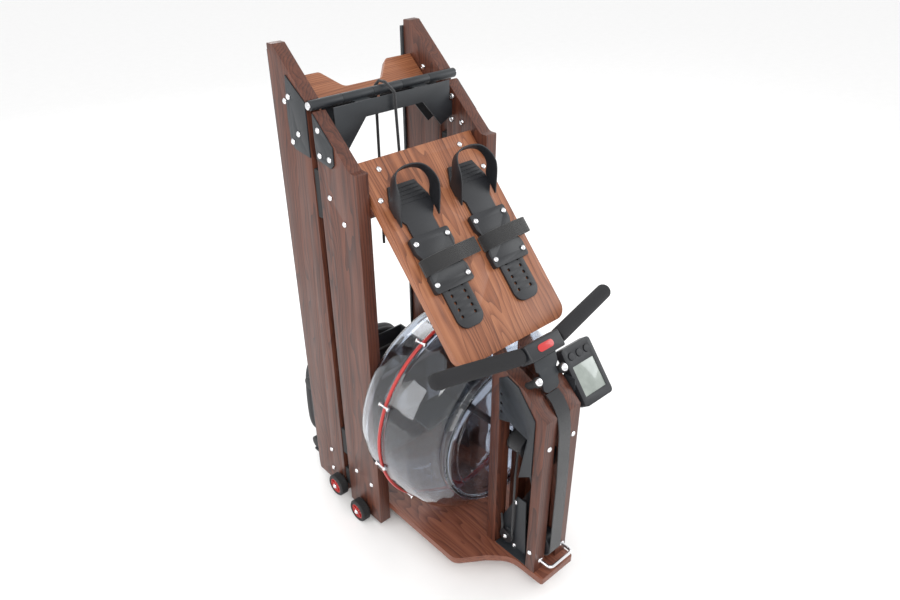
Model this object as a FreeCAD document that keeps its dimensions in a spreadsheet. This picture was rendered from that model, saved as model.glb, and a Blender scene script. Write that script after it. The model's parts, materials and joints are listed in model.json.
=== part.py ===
"""Folding wooden water rower, standing folded on its front end.

Frame: +Z up, X along the hinge barrel (left is -X), -Y the side that is up in use.
The origin is on the floor, under the hinge axis. Millimetres and degrees.
"""
import FreeCAD, Part
import math
import os
import Sketcher

V = FreeCAD.Vector
doc = FreeCAD.newDocument("WaterRower")
sheet = doc.addObject("Spreadsheet::Sheet", "Dim")

# name, value, meaning
SIZES = [
    ("half_width", 190, "rails: outer face from the middle"),
    ("rail_thick", 30, "rail board thickness"),
    ("hinge_height", 1058, "hinge axis above the floor"),
    ("hinge_gap", 10.5, "rail face from the hinge axis, each half"),
    ("front_depth", 128, "front rail depth"),
    ("rear_depth", 123, "rear rail depth"),
    ("slant", 0.87, "rise of the scarfed rail ends per mm"),
    ("relief", 1, "clearance of each scarfed end"),
    ("lip_flat", 20, "square tip of a scarfed end"),
    ("rail_lift", 18, "front rail end above the floor"),
    ("rear_lift", 30, "rear rail end above the floor"),
    ("barrel_radius", 10, "hinge barrel"),
    ("pin_radius", 4, "hinge pin"),
    ("running", 0.05, "radial clearance on pins and shafts"),
    ("knuckle_gap", 0.6, "end gap between hinge knuckles"),
    ("sheet_thick", 3, "steel plate"),
    ("board_thick", 18, "boards other than the rails"),
    ("base_height", 55, "underside of the base board"),
    ("base_reach", 561, "base board nose from the hinge axis"),
    ("frame_half", 54, "drive frame outer face from the middle"),
    ("frame_gap", 20, "drive frame inner face from the middle"),
    ("frame_front", 535, "front post face from the hinge axis"),
    ("frame_back", 383, "rear post face from the hinge axis"),
    ("post_depth", 26, "front post depth"),
    ("shoulder_drop", 547, "front post's shoulder below the hinge axis"),
    ("heel_reach", 89.5, "footboard heel from the hinge axis"),
    ("heel_drop", 102, "footboard heel below the hinge axis"),
    ("foot_angle", 47.1, "footboard slope"),
    ("foot_length", 455, "footboard length"),
    ("foot_gap", 3, "footboard edge to each rail"),
    ("foot_spread", 81, "foot plate middle from the machine's middle"),
    ("tank_height", 371, "tank axis above the floor"),
    ("tank_radius", 249, "tank flange radius"),
    ("tank_seam", 238, "tank seam from the hinge axis"),
    ("tank_wall", 4, "tank wall"),
    ("neck_inset", 73, "tank mouth inside the flange"),
    ("lid_reach", 384, "tank lid from the hinge axis"),
    ("shaft_radius", 8, "impeller shaft"),
    ("drum_radius", 24, "strap drum"),
    ("wheel_radius", 30, "transport wheel"),
    ("wheel_width", 25, "transport wheel"),
    ("wheel_gap", 3, "washer between wheel and rail"),
    ("pulley_radius", 27, "strap pulley"),
    ("pulley_reach", 519, "strap pulley axis from the hinge axis"),
    ("pulley_height", 130, "strap pulley axis above the floor"),
    ("strap_width", 38.4, "drive strap"),
    ("strap_thick", 2.4, "drive strap"),
    ("handle_reach", 461, "handle block from the hinge axis"),
    ("handle_rise", 125, "handle block above the shoulder"),
    ("handle_half", 259, "handle half length"),
    ("grip_radius", 17, "handle grip"),
    ("bar_radius", 11, "handle bar"),
    ("track_width", 32, "seat track"),
    ("track_thick", 7.5, "seat track"),
    ("seat_height", 213, "seat middle above the floor"),
    ("seat_length", 270, "seat along the rails"),
    ("seat_half", 150, "seat half width"),
    ("seat_thick", 48, "seat pad"),
    ("roller_radius", 17, "seat roller"),
    ("bolt_radius", 3.4, "dome bolt shank"),
    ("dome_radius", 6.4, "dome bolt head"),
    ("dome_height", 4.2, "dome bolt head"),
    ("shoulder", "=hinge_height - shoulder_drop", "front post's shoulder above the floor"),
    ("handle_height", "=shoulder + handle_rise", "handle block above the floor"),
    ("foot_half", "=half_width - rail_thick - foot_gap", "footboard half width"),
    ("neck_radius", "=tank_radius - neck_inset", "tank mouth radius"),
]
for row, (alias, value, note) in enumerate(SIZES, start=1):
    sheet.set(f"A{row}", note)
    sheet.set(f"B{row}", str(value))
    sheet.setAlias(f"B{row}", alias)
doc.recompute()

parts = []


def size(alias):
    """Value of a driving dimension."""
    return float(getattr(sheet, alias))


def expand(text):
    """Turn alias words into references to the sheet."""
    out, word = [], ""
    for char in text + " ":
        if char.isalnum() or char in "_.":
            word += char
            continue
        known = word in ALIASES
        out.append(("Dim." if known else "") + word + char)
        word = ""
    return "".join(out).strip()


ALIASES = {alias for alias, _, _ in SIZES}


def bind(item, prop, text):
    item.setExpression(prop, expand(text))


def finish(item, label):
    """Register a sub-part under the name of its file."""
    item.Label = label
    parts.append(item)
    return item


def place(item, base, axis=None, angle=None):
    """Give a sub-part its place; the base is three expressions."""
    if axis:
        item.Placement = FreeCAD.Placement(V(), FreeCAD.Rotation(V(*axis), 30))
        bind(item, "Placement.Rotation.Angle", angle)
    for name, text in zip("xyz", base):
        bind(item, f"Placement.Base.{name}", text)


def attach(body, role, start):
    """New sketch on an origin plane of its own body, moved along the plane's normal."""
    origin_plane = [f for f in body.Origin.OriginFeatures if f.Role == role][0]
    sketch = body.newObject("Sketcher::SketchObject", body.Name + "_sketch")
    sketch.AttachmentSupport = [(origin_plane, "")]
    sketch.MapMode = "FlatFace"
    bind(sketch, "AttachmentOffset.Base.z", start)
    return sketch


def pin_point(sketch, geometry, end, spot):
    """Tie a point of the sketch to the sketch origin by two expressions."""
    for kind, text in zip(("DistanceX", "DistanceY"), spot):
        number = sketch.addConstraint(Sketcher.Constraint(kind, -1, 1, geometry, end, 1.0))
        bind(sketch, f"Constraints[{number}]", text)


def outline(sketch, corners):
    """Closed outline of straight lines through the corners."""
    count = len(corners)
    ring = [V(math.cos(2 * math.pi * k / count), math.sin(2 * math.pi * k / count), 0) * 100
            for k in range(count)]
    first = sketch.GeometryCount
    for k in range(count):
        sketch.addGeometry(Part.LineSegment(ring[k], ring[(k + 1) % count]), False)
    for k in range(count):
        after = first + (k + 1) % count
        sketch.addConstraint(Sketcher.Constraint("Coincident", first + k, 2, after, 1))
    for k, spot in enumerate(corners):
        pin_point(sketch, first + k, 1, spot)


def circles(sketch, centres, diameter):
    for spot in centres:
        number = sketch.addGeometry(Part.Circle(V(10 * len(sketch.Geometry), 5, 0), V(0, 0, 1), 3))
        pin_point(sketch, number, 3, spot)
        fixed = sketch.addConstraint(Sketcher.Constraint("Diameter", number, 6.0))
        bind(sketch, f"Constraints[{fixed}]", diameter)


def round_corners(body, pad, sketch, rounds):
    """Fillet the padded edges that rise from the numbered outline corners."""
    doc.recompute()
    for radius, numbers in rounds:
        spots = [sketch.Placement.multVec(sketch.Geometry[k].StartPoint) for k in numbers]
        normal = sketch.Placement.Rotation.multVec(V(0, 0, 1))
        names = []
        base = body.Tip
        for index, edge in enumerate(base.Shape.Edges, start=1):
            if len(edge.Vertexes) < 2:
                continue
            start, end = edge.Vertexes[0].Point, edge.Vertexes[1].Point
            along = (end - start).cross(normal).Length < 1e-6
            near = any((start - spot).cross(normal).Length < 1e-4 for spot in spots)
            if along and near:
                names.append(f"Edge{index}")
        fillet = body.newObject("PartDesign::Fillet", body.Name + "_round")
        fillet.Base = (base, names)
        bind(fillet, "Radius", radius)
        body.Tip = fillet
        doc.recompute()


def board(label, role, corners, start, thickness, rounds=(), register=True):
    """Flat piece: an outline on an origin plane, padded along the plane's normal."""
    body = doc.addObject("PartDesign::Body", label)
    sketch = attach(body, role, start)
    outline(sketch, corners)
    pad = body.newObject("PartDesign::Pad", label + "_pad")
    pad.Profile = sketch
    bind(pad, "Length", thickness)
    body.Tip = pad
    if rounds:
        round_corners(body, pad, sketch, rounds)
    return finish(body, label) if register else body


def cut(body, role, start, depth, corners=None, centres=None, diameter=None):
    """Pocket an outline or a set of holes from the plane at start, along its normal."""
    doc.recompute()
    before = body.Shape.Volume
    sketch = attach(body, role, start)
    if corners:
        outline(sketch, corners)
    if centres:
        circles(sketch, centres, diameter)
    pocket = body.newObject("PartDesign::Pocket", body.Name + "_cut")
    pocket.Profile = sketch
    pocket.Reversed = True
    bind(pocket, "Length", depth)
    body.Tip = pocket
    doc.recompute()
    if not body.Shape.Volume < before - 1:
        raise RuntimeError(f"{body.Label}: a cut removed nothing")


def turned(label, profile):
    """Turned piece: a closed profile of (radius, height) turned about the local Z axis."""
    body = doc.addObject("PartDesign::Body", label)
    sketch = attach(body, "XZ_Plane", "0")
    outline(sketch, profile)
    turn = body.newObject("PartDesign::Revolution", label + "_turn")
    turn.Profile = sketch
    turn.ReferenceAxis = (sketch, ["V_Axis"])
    turn.Angle = 360
    body.Tip = turn
    return finish(body, label)


def primitive(kind, name, values, base=("0", "0", "0"), axis=None, angle=None):
    item = doc.addObject("Part::" + kind, name)
    for prop, text in values.items():
        bind(item, prop, text)
    place(item, base, axis, angle)
    return item


def fuse(label, shapes):
    item = doc.addObject("Part::MultiFuse", label)
    item.Shapes = shapes
    item.Refine = True
    return finish(item, label)


def subtract(label, base, tool, register=True):
    item = doc.addObject("Part::Cut", label)
    item.Base = base
    item.Tool = tool
    return finish(item, label) if register else item


def group(label, items):
    """Sub-part of several like pieces."""
    item = doc.addObject("Part::Compound", label)
    item.Links = items
    return finish(item, label)


def from_shape(label, shape):
    """Sub-part whose shape is made here, for groups and swept runs."""
    item = doc.addObject("Part::Feature", label)
    item.Shape = shape
    return finish(item, label)


SIDES = (("left", "-", -1), ("right", "", 1))


# ---------------------------------------------------------------- rails
def scarf(reach, sign):
    """Height of the scarfed rail end at a distance from the hinge axis."""
    return f"hinge_height {sign} slant * ({reach}) - relief"


INNER = "(half_width - rail_thick)"


def slab_start(side):
    """Near face, along +X, of a piece as thick as a rail on this side."""
    return "-half_width" if side == "left" else INNER


BOLT_HOLE = "2 * (bolt_radius + running)"
FRONT_BOLTS = [("-28", "hinge_height - 41"), ("-27", "hinge_height - 92"), ("-60", "hinge_height - 92"),
               ("-45", "hinge_height - 176"), ("-89", "hinge_height - 220"), ("-48", "140"), ("-109", "134")]
REAR_BOLTS = [("68", "hinge_height + 5"), ("88", "hinge_height - 8"), ("44", "hinge_height - 65"),
              ("68", "hinge_height - 86"), ("63", "140"), ("64", "75")]
FRONT_AXLE = ("-71", "wheel_radius")
REAR_AXLE = ("22", "wheel_radius + 24")

front_tip = "hinge_gap + front_depth - lip_flat"
rear_tip = "hinge_gap + rear_depth - lip_flat"
for side, _, _ in SIDES:
    rail = board(f"front_rail_{side}", "YZ_Plane", [
        ("-hinge_gap", "rail_lift"),
        ("-hinge_gap", scarf("hinge_gap", "-")),
        (f"-({front_tip})", scarf(front_tip, "-")),
        ("-(hinge_gap + front_depth)", scarf(front_tip, "-")),
        ("-(hinge_gap + front_depth)", "rail_lift"),
    ], slab_start(side), "rail_thick", [("16", [2]), ("3", [3, 4])])
    cut(rail, "YZ_Plane", slab_start(side), "rail_thick", centres=FRONT_BOLTS + [FRONT_AXLE],
        diameter=BOLT_HOLE)
for side, _, _ in SIDES:
    rail = board(f"rear_rail_{side}", "YZ_Plane", [
        ("hinge_gap", "rear_lift"),
        ("hinge_gap + rear_depth", "rear_lift"),
        ("hinge_gap + rear_depth", scarf(rear_tip, "+")),
        (rear_tip, scarf(rear_tip, "+")),
        ("hinge_gap", scarf("hinge_gap", "+")),
    ], slab_start(side), "rail_thick", [("3", [1, 2])])
    cut(rail, "YZ_Plane", slab_start(side), "rail_thick", centres=REAR_BOLTS + [REAR_AXLE],
        diameter=BOLT_HOLE)

# ---------------------------------------------------------------- hinge
KNUCKLES = 5
pitch = f"(2 * half_width / {KNUCKLES})"


def knuckle(name, number):
    """Barrel segment with a bore for the pin, counted from the left end."""
    start = f"-half_width + {number} * {pitch} + knuckle_gap / 2"
    outer = primitive("Cylinder", f"{name}_barrel", {
        "Radius": "barrel_radius", "Height": f"{pitch} - knuckle_gap"},
        (start, "0", "hinge_height"), (0, 1, 0), "90")
    bore = primitive("Cylinder", f"{name}_bore", {
        "Radius": "pin_radius + running", "Height": f"{pitch} + 1"},
        (f"{start} - 1", "0", "hinge_height"), (0, 1, 0), "90")
    return outer, bore


def hinge_leaf(label, numbers, face, plate_at):
    """Arch-shaped plate that hangs from its knuckles; face is -1 in front, 1 behind."""
    half = f"({INNER} - 8)"
    tab = f"({INNER} - 0.4)"
    sides = [(half, "hinge_height - 48"), (tab, "hinge_height - 50"), (tab, "hinge_height - 83"),
             (half, "hinge_height - 85"), (f"{half} - 26", "hinge_height - 97"),
             ("76", "hinge_height - 38")]
    arch = [(f"-{half}", "hinge_height - 5"), (half, "hinge_height - 5"), *sides]
    arch += [(f"-({across})", up) for across, up in reversed(sides)]
    plate = doc.addObject("PartDesign::Body", label + "_plate")
    sketch = attach(plate, "XZ_Plane", f"{plate_at}" if face < 0 else f"-{plate_at} - sheet_thick")
    outline(sketch, arch)
    pad = plate.newObject("PartDesign::Pad", label + "_pad")
    pad.Profile = sketch
    bind(pad, "Length", "sheet_thick")
    plate.Tip = pad
    barrels, bores = zip(*[knuckle(f"{label}_{k}", k) for k in numbers])
    webs = []
    offset = {0: "rail_thick + 4", 2: "35", KNUCKLES - 1: f"{pitch} - rail_thick - 44"}
    for k in numbers:
        low = f"-{plate_at} - 1" if face < 0 else "6"
        webs.append(primitive("Box", f"{label}_web_{k}", {
            "Length": "38", "Width": f"{plate_at} - 5", "Height": "sheet_thick"},
            (f"-half_width + {k} * {pitch} + {offset.get(k, "19")}", low,
             "hinge_height - 8")))
    solid = doc.addObject("Part::MultiFuse", label + "_solid")
    solid.Shapes = [plate, *barrels, *webs]
    tools = doc.addObject("Part::MultiFuse", label + "_tools")
    tools.Shapes = list(bores)
    if face > 0:
        slot = primitive("Box", f"{label}_cord_slot", {"Length": "13", "Width": "sheet_thick + 4",
                                                       "Height": "60"},
                         ("-18", f"{plate_at} - 2", "hinge_height - 55"))
        tools.Shapes = [*bores, slot]
    return subtract(label, solid, tools)


hinge_leaf("front_hinge_leaf", (1, 3), -1, 26)
hinge_leaf("rear_hinge_leaf", (0, 2, 4), 1, 14)
hinge_pin = turned("hinge_pin", [
    ("0", "0"), ("pin_radius + 3.5", "0"), ("pin_radius + 3.5", "4"), ("pin_radius", "4"),
    ("pin_radius", "2 * half_width + 4.8"), ("pin_radius + 3.5", "2 * half_width + 4.8"),
    ("pin_radius + 3.5", "2 * half_width + 8.8"), ("0", "2 * half_width + 8.8")])
place(hinge_pin, ("-half_width - 4.4", "0", "hinge_height"), (0, 1, 0), "90")

FRONT_CHEEK = [("-hinge_gap - 0.5", "hinge_height - 12"), ("-72", "hinge_height - 66"),
               ("-72", "hinge_height - 100"), ("-62", "hinge_height - 110"),
               ("-14", "hinge_height - 102"), ("-hinge_gap - 0.5", "hinge_height - 60")]
REAR_CHEEK = [("hinge_gap + 0.5", "hinge_height + 4"), ("74", "hinge_height + 46"),
              ("80", "hinge_height - 40"), ("76", "hinge_height - 92"),
              ("64", "hinge_height - 100"), ("hinge_gap + 0.5", "hinge_height - 106")]
for half, corners, holes in (("front", FRONT_CHEEK, FRONT_BOLTS[:3]),
                             ("rear", REAR_CHEEK, [REAR_BOLTS[0], *REAR_BOLTS[2:4]])):
    pair = []
    for side, _, _ in SIDES:
        start = "-half_width - sheet_thick" if side == "left" else "half_width"
        cheek = board(f"{half}_cheek_{side}", "YZ_Plane", corners, start, "sheet_thick", (), False)
        cut(cheek, "YZ_Plane", start, "sheet_thick", centres=holes, diameter=BOLT_HOLE)
        pair.append(cheek)
    group(f"{half}_cheeks", pair)


# ---------------------------------------------------------------- fasteners
def value(text):
    """Number behind a plain expression of one optional sign, aliases and sums."""
    total = 0.0
    for term in text.replace("- ", "+ -").split("+"):
        word = term.strip()
        sign = -1 if word.startswith("-") else 1
        word = word.lstrip("-").strip()
        total += sign * (size(word) if word in ALIASES else float(word))
    return total


def dome_bolt(base, axis, grip):
    """Dome head, shank of the given grip and dome nut along an axis from the head's seat."""
    radius, head, tall = size("bolt_radius"), size("dome_radius"), size("dome_height")
    shank = Part.makeCylinder(radius, grip, base, axis)
    bulge = (head ** 2 + tall ** 2) / (2 * tall)
    shapes = [shank]
    for seat, way in ((base, axis * -1), (base + axis * grip, axis)):
        ball = Part.makeSphere(bulge, seat + way * (tall - bulge))
        slab = Part.makeCylinder(head + 1, tall + 1, seat, way)
        shapes.append(ball.common(slab))
    return shapes[0].multiFuse(shapes[1:])


def rail_bolts(bolts, plated, blind=()):
    """Bolts through both rails; the plated ones also pass a cheek plate."""
    solids = []
    thick, plate, half = size("rail_thick"), size("sheet_thick"), size("half_width")
    for index, (across, up) in enumerate(bolts):
        outside = plate if index in plated else 0
        for sign in (-1, 1):
            seat = V(sign * (half + outside), value(across), value(up))
            if index in blind:
                solids.append(dome_screw(seat, V(-sign, 0, 0), thick - 2))
            else:
                solids.append(dome_bolt(seat, V(-sign, 0, 0), thick + outside))
    return solids


def dome_screw(seat, way, depth):
    """Dome head with a plain shank of the given depth."""
    radius, head, tall = size("bolt_radius"), size("dome_radius"), size("dome_height")
    bulge = (head ** 2 + tall ** 2) / (2 * tall)
    ball = Part.makeSphere(bulge, seat - way * (tall - bulge))
    cap = ball.common(Part.makeCylinder(head + 1, tall + 1, seat, way * -1))
    return cap.fuse(Part.makeCylinder(radius, depth, seat, way))


def axle_bolts(across, up):
    """Axle bolts of a pair of wheels, each with a washer against the rail."""
    solids = []
    half, thick = size("half_width"), size("rail_thick")
    reach = size("wheel_gap") + size("wheel_width") + 0.3
    for sign in (-1, 1):
        way = V(-sign, 0, 0)
        seat = V(sign * (half + reach), value(across), value(up))
        bolt = dome_bolt(seat, way, thick + reach)
        washer = Part.makeCylinder(7, size("wheel_gap") - 0.3, V(sign * half, seat.y, seat.z), way * -1)
        solids.append(bolt.fuse(washer))
    return solids


front_bolts = rail_bolts(FRONT_BOLTS, (0, 1, 2)) + axle_bolts(*FRONT_AXLE)
rear_bolts = rail_bolts(REAR_BOLTS, (0, 2, 3), (1,)) + axle_bolts(*REAR_AXLE)

# ---------------------------------------------------------------- rubber feet under the rails
pads = {}
for half, spans, low in (("front", (("hinge_height - 235", "106"), ("58", "55")), "-hinge_gap"),
                         ("rear", (("165", "80"),), "-hinge_gap + 0.4")):
    pads[half] = [primitive("Box", f"{half}_pad_{side}_{k}", {
        "Length": "rail_thick - 4", "Width": "2 * hinge_gap - 0.4", "Height": tall},
        (slab_start(side) + " + 2", low, base))
        for side in ("left", "right") for k, (base, tall) in enumerate(spans)]
group("rear_feet", pads["rear"])

# ---------------------------------------------------------------- base board and its feet
board("base_board", "XY_Plane", [
    (f"-({INNER} - 0.4)", "9"), (f"{INNER} - 0.4", "9"), (f"{INNER} - 0.4", "-60"),
    (INNER, "-60.5"), (INNER, "-382"), ("97", "-425"), ("frame_half + 2", "-466"),
    ("frame_half", "-base_reach"), ("-frame_half", "-base_reach"), ("-(frame_half + 2)", "-466"),
    ("-97", "-425"), (f"-{INNER}", "-382"), (f"-{INNER}", "-60.5"), (f"-({INNER} - 0.4)", "-60")],
    "base_height", "board_thick", [("28", [4, 11]), ("60", [6, 9]), ("6", [7, 8])])
stand_foot = primitive("Cone", "stand_foot", {"Radius1": "13", "Radius2": "15", "Height": "base_height"},
                       ("0", "-515", "0"))
hinge_foot = primitive("Cylinder", "hinge_foot", {"Radius": "8.5", "Height": "base_height"})
group("front_feet", [*pads["front"], stand_foot, hinge_foot])

# ---------------------------------------------------------------- drive frames
deck = "base_height + board_thick"
FRAME_TOP = [("-frame_front", "shoulder"), ("-476", "shoulder + 51"), ("-428", "shoulder + 70"),
             ("-(frame_back + 15)", "shoulder + 81"), ("-(frame_back + 3)", "shoulder + 98.5"),
             ("-frame_back", "shoulder + 100")]
WINDOW = [("-(frame_back + 26)", deck), ("-(frame_back + 26)", "shoulder + 42"),
          ("-466", "shoulder + 20"), ("-(frame_front - post_depth)", "shoulder - 20"),
          ("-(frame_front - post_depth)", deck)]
PLATE = [("-406", "shoulder + 49"), ("-428", "shoulder + 64"), ("-459", "shoulder + 54"),
         ("-509", "shoulder - 6"), ("-508", "shoulder - 155"), ("-474", "shoulder - 180"),
         ("-492", "shoulder - 63"), ("-440", "shoulder - 47"), ("-411", "shoulder - 57")]
side_plates = []
for side, _, _ in SIDES:
    start = "-frame_half" if side == "left" else "frame_gap"
    depth = "frame_half - frame_gap" if side == "left" else "frame_half - frame_gap - 8"
    frame = board(f"drive_frame_{side}", "YZ_Plane",
                  [("-frame_front", deck), *FRAME_TOP, ("-frame_back", deck)],
                  start, "frame_half - frame_gap")
    cut(frame, "YZ_Plane", start, depth, corners=WINDOW)
    cut(frame, "YZ_Plane", start, "frame_half - frame_gap",
        centres=[("-pulley_reach", "pulley_height")], diameter="8.1")
    plate_at = "-frame_half - sheet_thick" if side == "left" else "frame_half"
    plate = board(f"side_plate_{side}", "YZ_Plane", PLATE, plate_at, "sheet_thick", (), False)
    cut(plate, "YZ_Plane", plate_at, "sheet_thick",
        centres=[("-414", "shoulder + 12"), ("-415", "shoulder - 11"), ("-416", "shoulder - 32")],
        diameter="7")
    side_plates.append(plate)
group("side_plates", side_plates)

# ---------------------------------------------------------------- base bracket and pulleys
floor_plate = primitive("Box", "bracket_floor", {
    "Length": "2 * frame_half - 10.5", "Width": "96", "Height": "sheet_thick"},
    ("-frame_half + 2", "-507", deck))
ears = []
for k, x in enumerate(("-30", "30 - sheet_thick")):
    ears.append(board(f"bracket_ear_{k}", "YZ_Plane", [
        ("-411", deck), ("-411", "150"), ("-452", "238"), ("-478", "238"), ("-486", deck)],
        x, "sheet_thick", (), False))
bracket_solid = doc.addObject("Part::MultiFuse", "bracket_solid")
bracket_solid.Shapes = [floor_plate, *ears]
guide_hole = primitive("Cylinder", "guide_hole", {"Radius": "bolt_radius + running", "Height": "80"},
                       ("-40", "-432", "104"), (0, 1, 0), "90")
subtract("base_bracket", bracket_solid, guide_hole)

strap_pulley = turned("strap_pulley", [
    ("4.05", "-17.8"), ("pulley_radius - 1", "-17.8"), ("pulley_radius", "-16.8"),
    ("pulley_radius", "16.8"), ("pulley_radius - 1", "17.8"), ("4.05", "17.8")])
place(strap_pulley, ("0", "-pulley_reach", "pulley_height"), (0, 1, 0), "90")
guide_pulley = turned("guide_pulley", [
    ("bolt_radius + running", "-5"), ("19", "-5"), ("13", "-2.6"), ("13", "2.6"), ("19", "5"),
    ("bolt_radius + running", "5")])
place(guide_pulley, ("-36.5", "-432", "104"), (0, 1, 0), "90")
half = size("frame_half")
axle = Part.makeCylinder(4, 2 * half, V(-half, -size("pulley_reach"), size("pulley_height")), V(1, 0, 0))
caps = [Part.makeCylinder(9, 7, V(x, -size("pulley_reach"), size("pulley_height")), V(sign, 0, 0))
        for x, sign in ((-half, -1), (half, 1))]
front_bolts.append(axle.multiFuse(caps))
front_bolts.append(dome_bolt(V(-42.2, -432, 104), V(1, 0, 0), 15.4))

# ---------------------------------------------------------------- tank
UPPER = [("tank_radius", 2), ("tank_radius - 2", 8), ("tank_radius - 5", 40), ("tank_radius - 13", 78),
         ("tank_radius - 28", 102), ("tank_radius - 52", 118), ("neck_radius", 122)]
LOWER = [("tank_radius", 2), ("tank_radius - 1", 12), ("tank_radius - 4", 52),
         ("tank_radius - 14", 82), ("tank_radius - 34", 96), ("tank_radius - 50", 99)]


def bowl(label, outer, upward, mouth):
    """Blown bowl with a thin wall; heights run away from the seam."""
    way = "" if upward else "-"
    skin = [(radius, f"{way}{height}") for radius, height in outer]
    lining = [(f"{radius} - tank_wall", f"{way}{height} {'-' if upward else '+'} {min(k, 4)}")
              for k, (radius, height) in reversed(list(enumerate(outer)))]
    lining[-1] = ("tank_radius - 8", f"{way}2")
    return turned(label, skin + mouth + lining)


upper = bowl("tank_upper_bowl", UPPER, True, [
    ("neck_radius", "136"), ("neck_radius - 5", "136")])
lower = turned("tank_lower_bowl", [
    *[(radius, f"-{height}") for radius, height in LOWER], ("0", "-99"), ("0", "-95"),
    ("tank_radius - 52", "-95"), ("tank_radius - 38", "-91"), ("tank_radius - 19", "-79"),
    ("tank_radius - 8", "-52"), ("tank_radius - 8", "-2")])
seal = turned("tank_seal_ring", [
    ("tank_radius - 7", "-1.9"), ("tank_radius + 1", "-1.9"), ("tank_radius + 1", "1.9"),
    ("tank_radius - 7", "1.9")])
lid = turned("tank_lid", [
    ("shaft_radius + running", "130"), ("neck_radius - 6", "130"), ("neck_radius - 6", "136.2"),
    ("neck_radius + 3", "136.2"), ("neck_radius + 3", "141"), ("18", "142"), ("18", "150"),
    ("shaft_radius + running", "150")])
for item in (upper, lower, seal, lid):
    place(item, ("0", "-tank_seam", "tank_height"), (1, 0, 0), "90")

board("tank_cradle", "XZ_Plane", [
    (f"-{INNER}", "tank_height - 90"), (INNER, "tank_height - 90"), (INNER, "tank_height + 90"),
    (f"-{INNER}", "tank_height + 90")], "hinge_gap + front_depth - board_thick", "board_thick")

CLAMPS = 10
clamp_solids = []
clamp_ring = size("tank_radius") + 4.2
for k in range(CLAMPS):
    turn = 2 * math.pi * (k + 0.3) / CLAMPS
    spot = V(clamp_ring * math.cos(turn), -size("tank_seam") + 15, size("tank_height")
             + clamp_ring * math.sin(turn))
    stem = Part.makeCylinder(2.6, 30, spot, V(0, -1, 0))
    ends = [Part.makeCylinder(5, 4, spot + V(0, shift, 0), V(0, -1, 0)) for shift in (0, -26)]
    clamp_solids.append(stem.multiFuse(ends))
from_shape("tank_clamps", Part.makeCompound(clamp_solids))

shaft = primitive("Cylinder", "impeller_shaft", {"Radius": "shaft_radius", "Height": "316"},
                  ("0", "-tank_seam + 84", "tank_height"), (1, 0, 0), "90")
blades = [primitive("Box", "impeller_blade_0", {"Length": "250", "Width": "80", "Height": "5"},
                    ("-125", "-tank_seam - 20", "tank_height - 2.5")),
          primitive("Box", "impeller_blade_1", {"Length": "5", "Width": "80", "Height": "250"},
                    ("-2.5", "-tank_seam - 20", "tank_height - 125"))]
fuse("impeller", [shaft, *blades])
drum = turned("strap_drum", [
    ("shaft_radius + running", "173"), ("drum_radius + 5", "173"), ("drum_radius + 5", "175"),
    ("drum_radius", "175"), ("drum_radius", "212"), ("drum_radius + 5", "212"),
    ("drum_radius + 5", "214"), ("shaft_radius + running", "214")])
place(drum, ("0", "-tank_seam", "tank_height"), (1, 0, 0), "90")
bearing = turned("bearing_tube", [
    ("shaft_radius + running", "218"), ("18", "218"), ("18", "266"), ("shaft_radius + running", "266")])
parts.remove(bearing)
place(bearing, ("0", "-tank_seam", "tank_height"), (1, 0, 0), "90")
bridge = primitive("Box", "bearing_bridge", {
    "Length": "2 * frame_half - 9", "Width": "sheet_thick", "Height": "52"},
    ("-frame_half + 0.5", "-tank_seam - 269.5", "tank_height - 26"))
fuse("drum_bearing", [bearing, bridge])

# ---------------------------------------------------------------- footboard
SLOPE = dict(base=("0", "-heel_reach", "hinge_height - heel_drop"), axis=(1, 0, 0), angle="foot_angle")
footboard = board("footboard", "XY_Plane", [
    ("-foot_half", "-foot_length"), ("foot_half", "-foot_length"), ("foot_half", "0"),
    ("-foot_half", "0")], "-board_thick", "board_thick", [("30", [0, 1])])
heel_bar = board("heel_crossbar", "XY_Plane", [
    (f"-({INNER} - 0.4)", "-104"), (f"{INNER} - 0.4", "-104"), (f"{INNER} - 0.4", "-14"),
    (f"-({INNER} - 0.4)", "-14")], "-2 * board_thick", "board_thick")
HEEL_SCREWS = [("-110", "-24"), ("110", "-24"), ("-141", "-86"), ("141", "-86")]
BASE_SCREWS = [(f"{minus}foot_spread {way} 41", y) for _, minus, _ in SIDES for way in "+-"
               for y in ("-195", "-285")]
cut(footboard, "XY_Plane", "-board_thick", "board_thick", centres=HEEL_SCREWS + BASE_SCREWS,
    diameter=BOLT_HOLE)
cut(heel_bar, "XY_Plane", "-2 * board_thick", "board_thick", centres=HEEL_SCREWS, diameter=BOLT_HOLE)
place(footboard, **SLOPE)
place(heel_bar, **SLOPE)

# ---------------------------------------------------------------- foot plates
bases = []
for side, minus, _ in SIDES:
    middle = f"{minus}foot_spread"
    base = board(f"foot_base_{side}", "XY_Plane", [
        (f"{middle} - 50", "-302"), (f"{middle} + 50", "-302"), (f"{middle} + 50", "-268"),
        (f"{middle} + 44", "-256"), (f"{middle} + 44", "-224"), (f"{middle} + 50", "-212"),
        (f"{middle} + 50", "-180"), (f"{middle} - 50", "-180"), (f"{middle} - 50", "-212"),
        (f"{middle} - 44", "-224"), (f"{middle} - 44", "-256"), (f"{middle} - 50", "-268")],
        "0", "12", [("6", [0, 1, 6, 7])], False)
    cut(base, "XY_Plane", "0", "7", corners=[
        (f"{middle} - 34.5", "-310"), (f"{middle} + 34.5", "-310"), (f"{middle} + 34.5", "-170"),
        (f"{middle} - 34.5", "-170")])
    cut(base, "XY_Plane", "0", "12", centres=[(f"{middle} {way} 41", y) for way in "+-"
                                              for y in ("-195", "-285")], diameter=BOLT_HOLE)
    bases.append(base)
for item in bases:
    place(item, **SLOPE)
group("foot_bases", bases)




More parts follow.
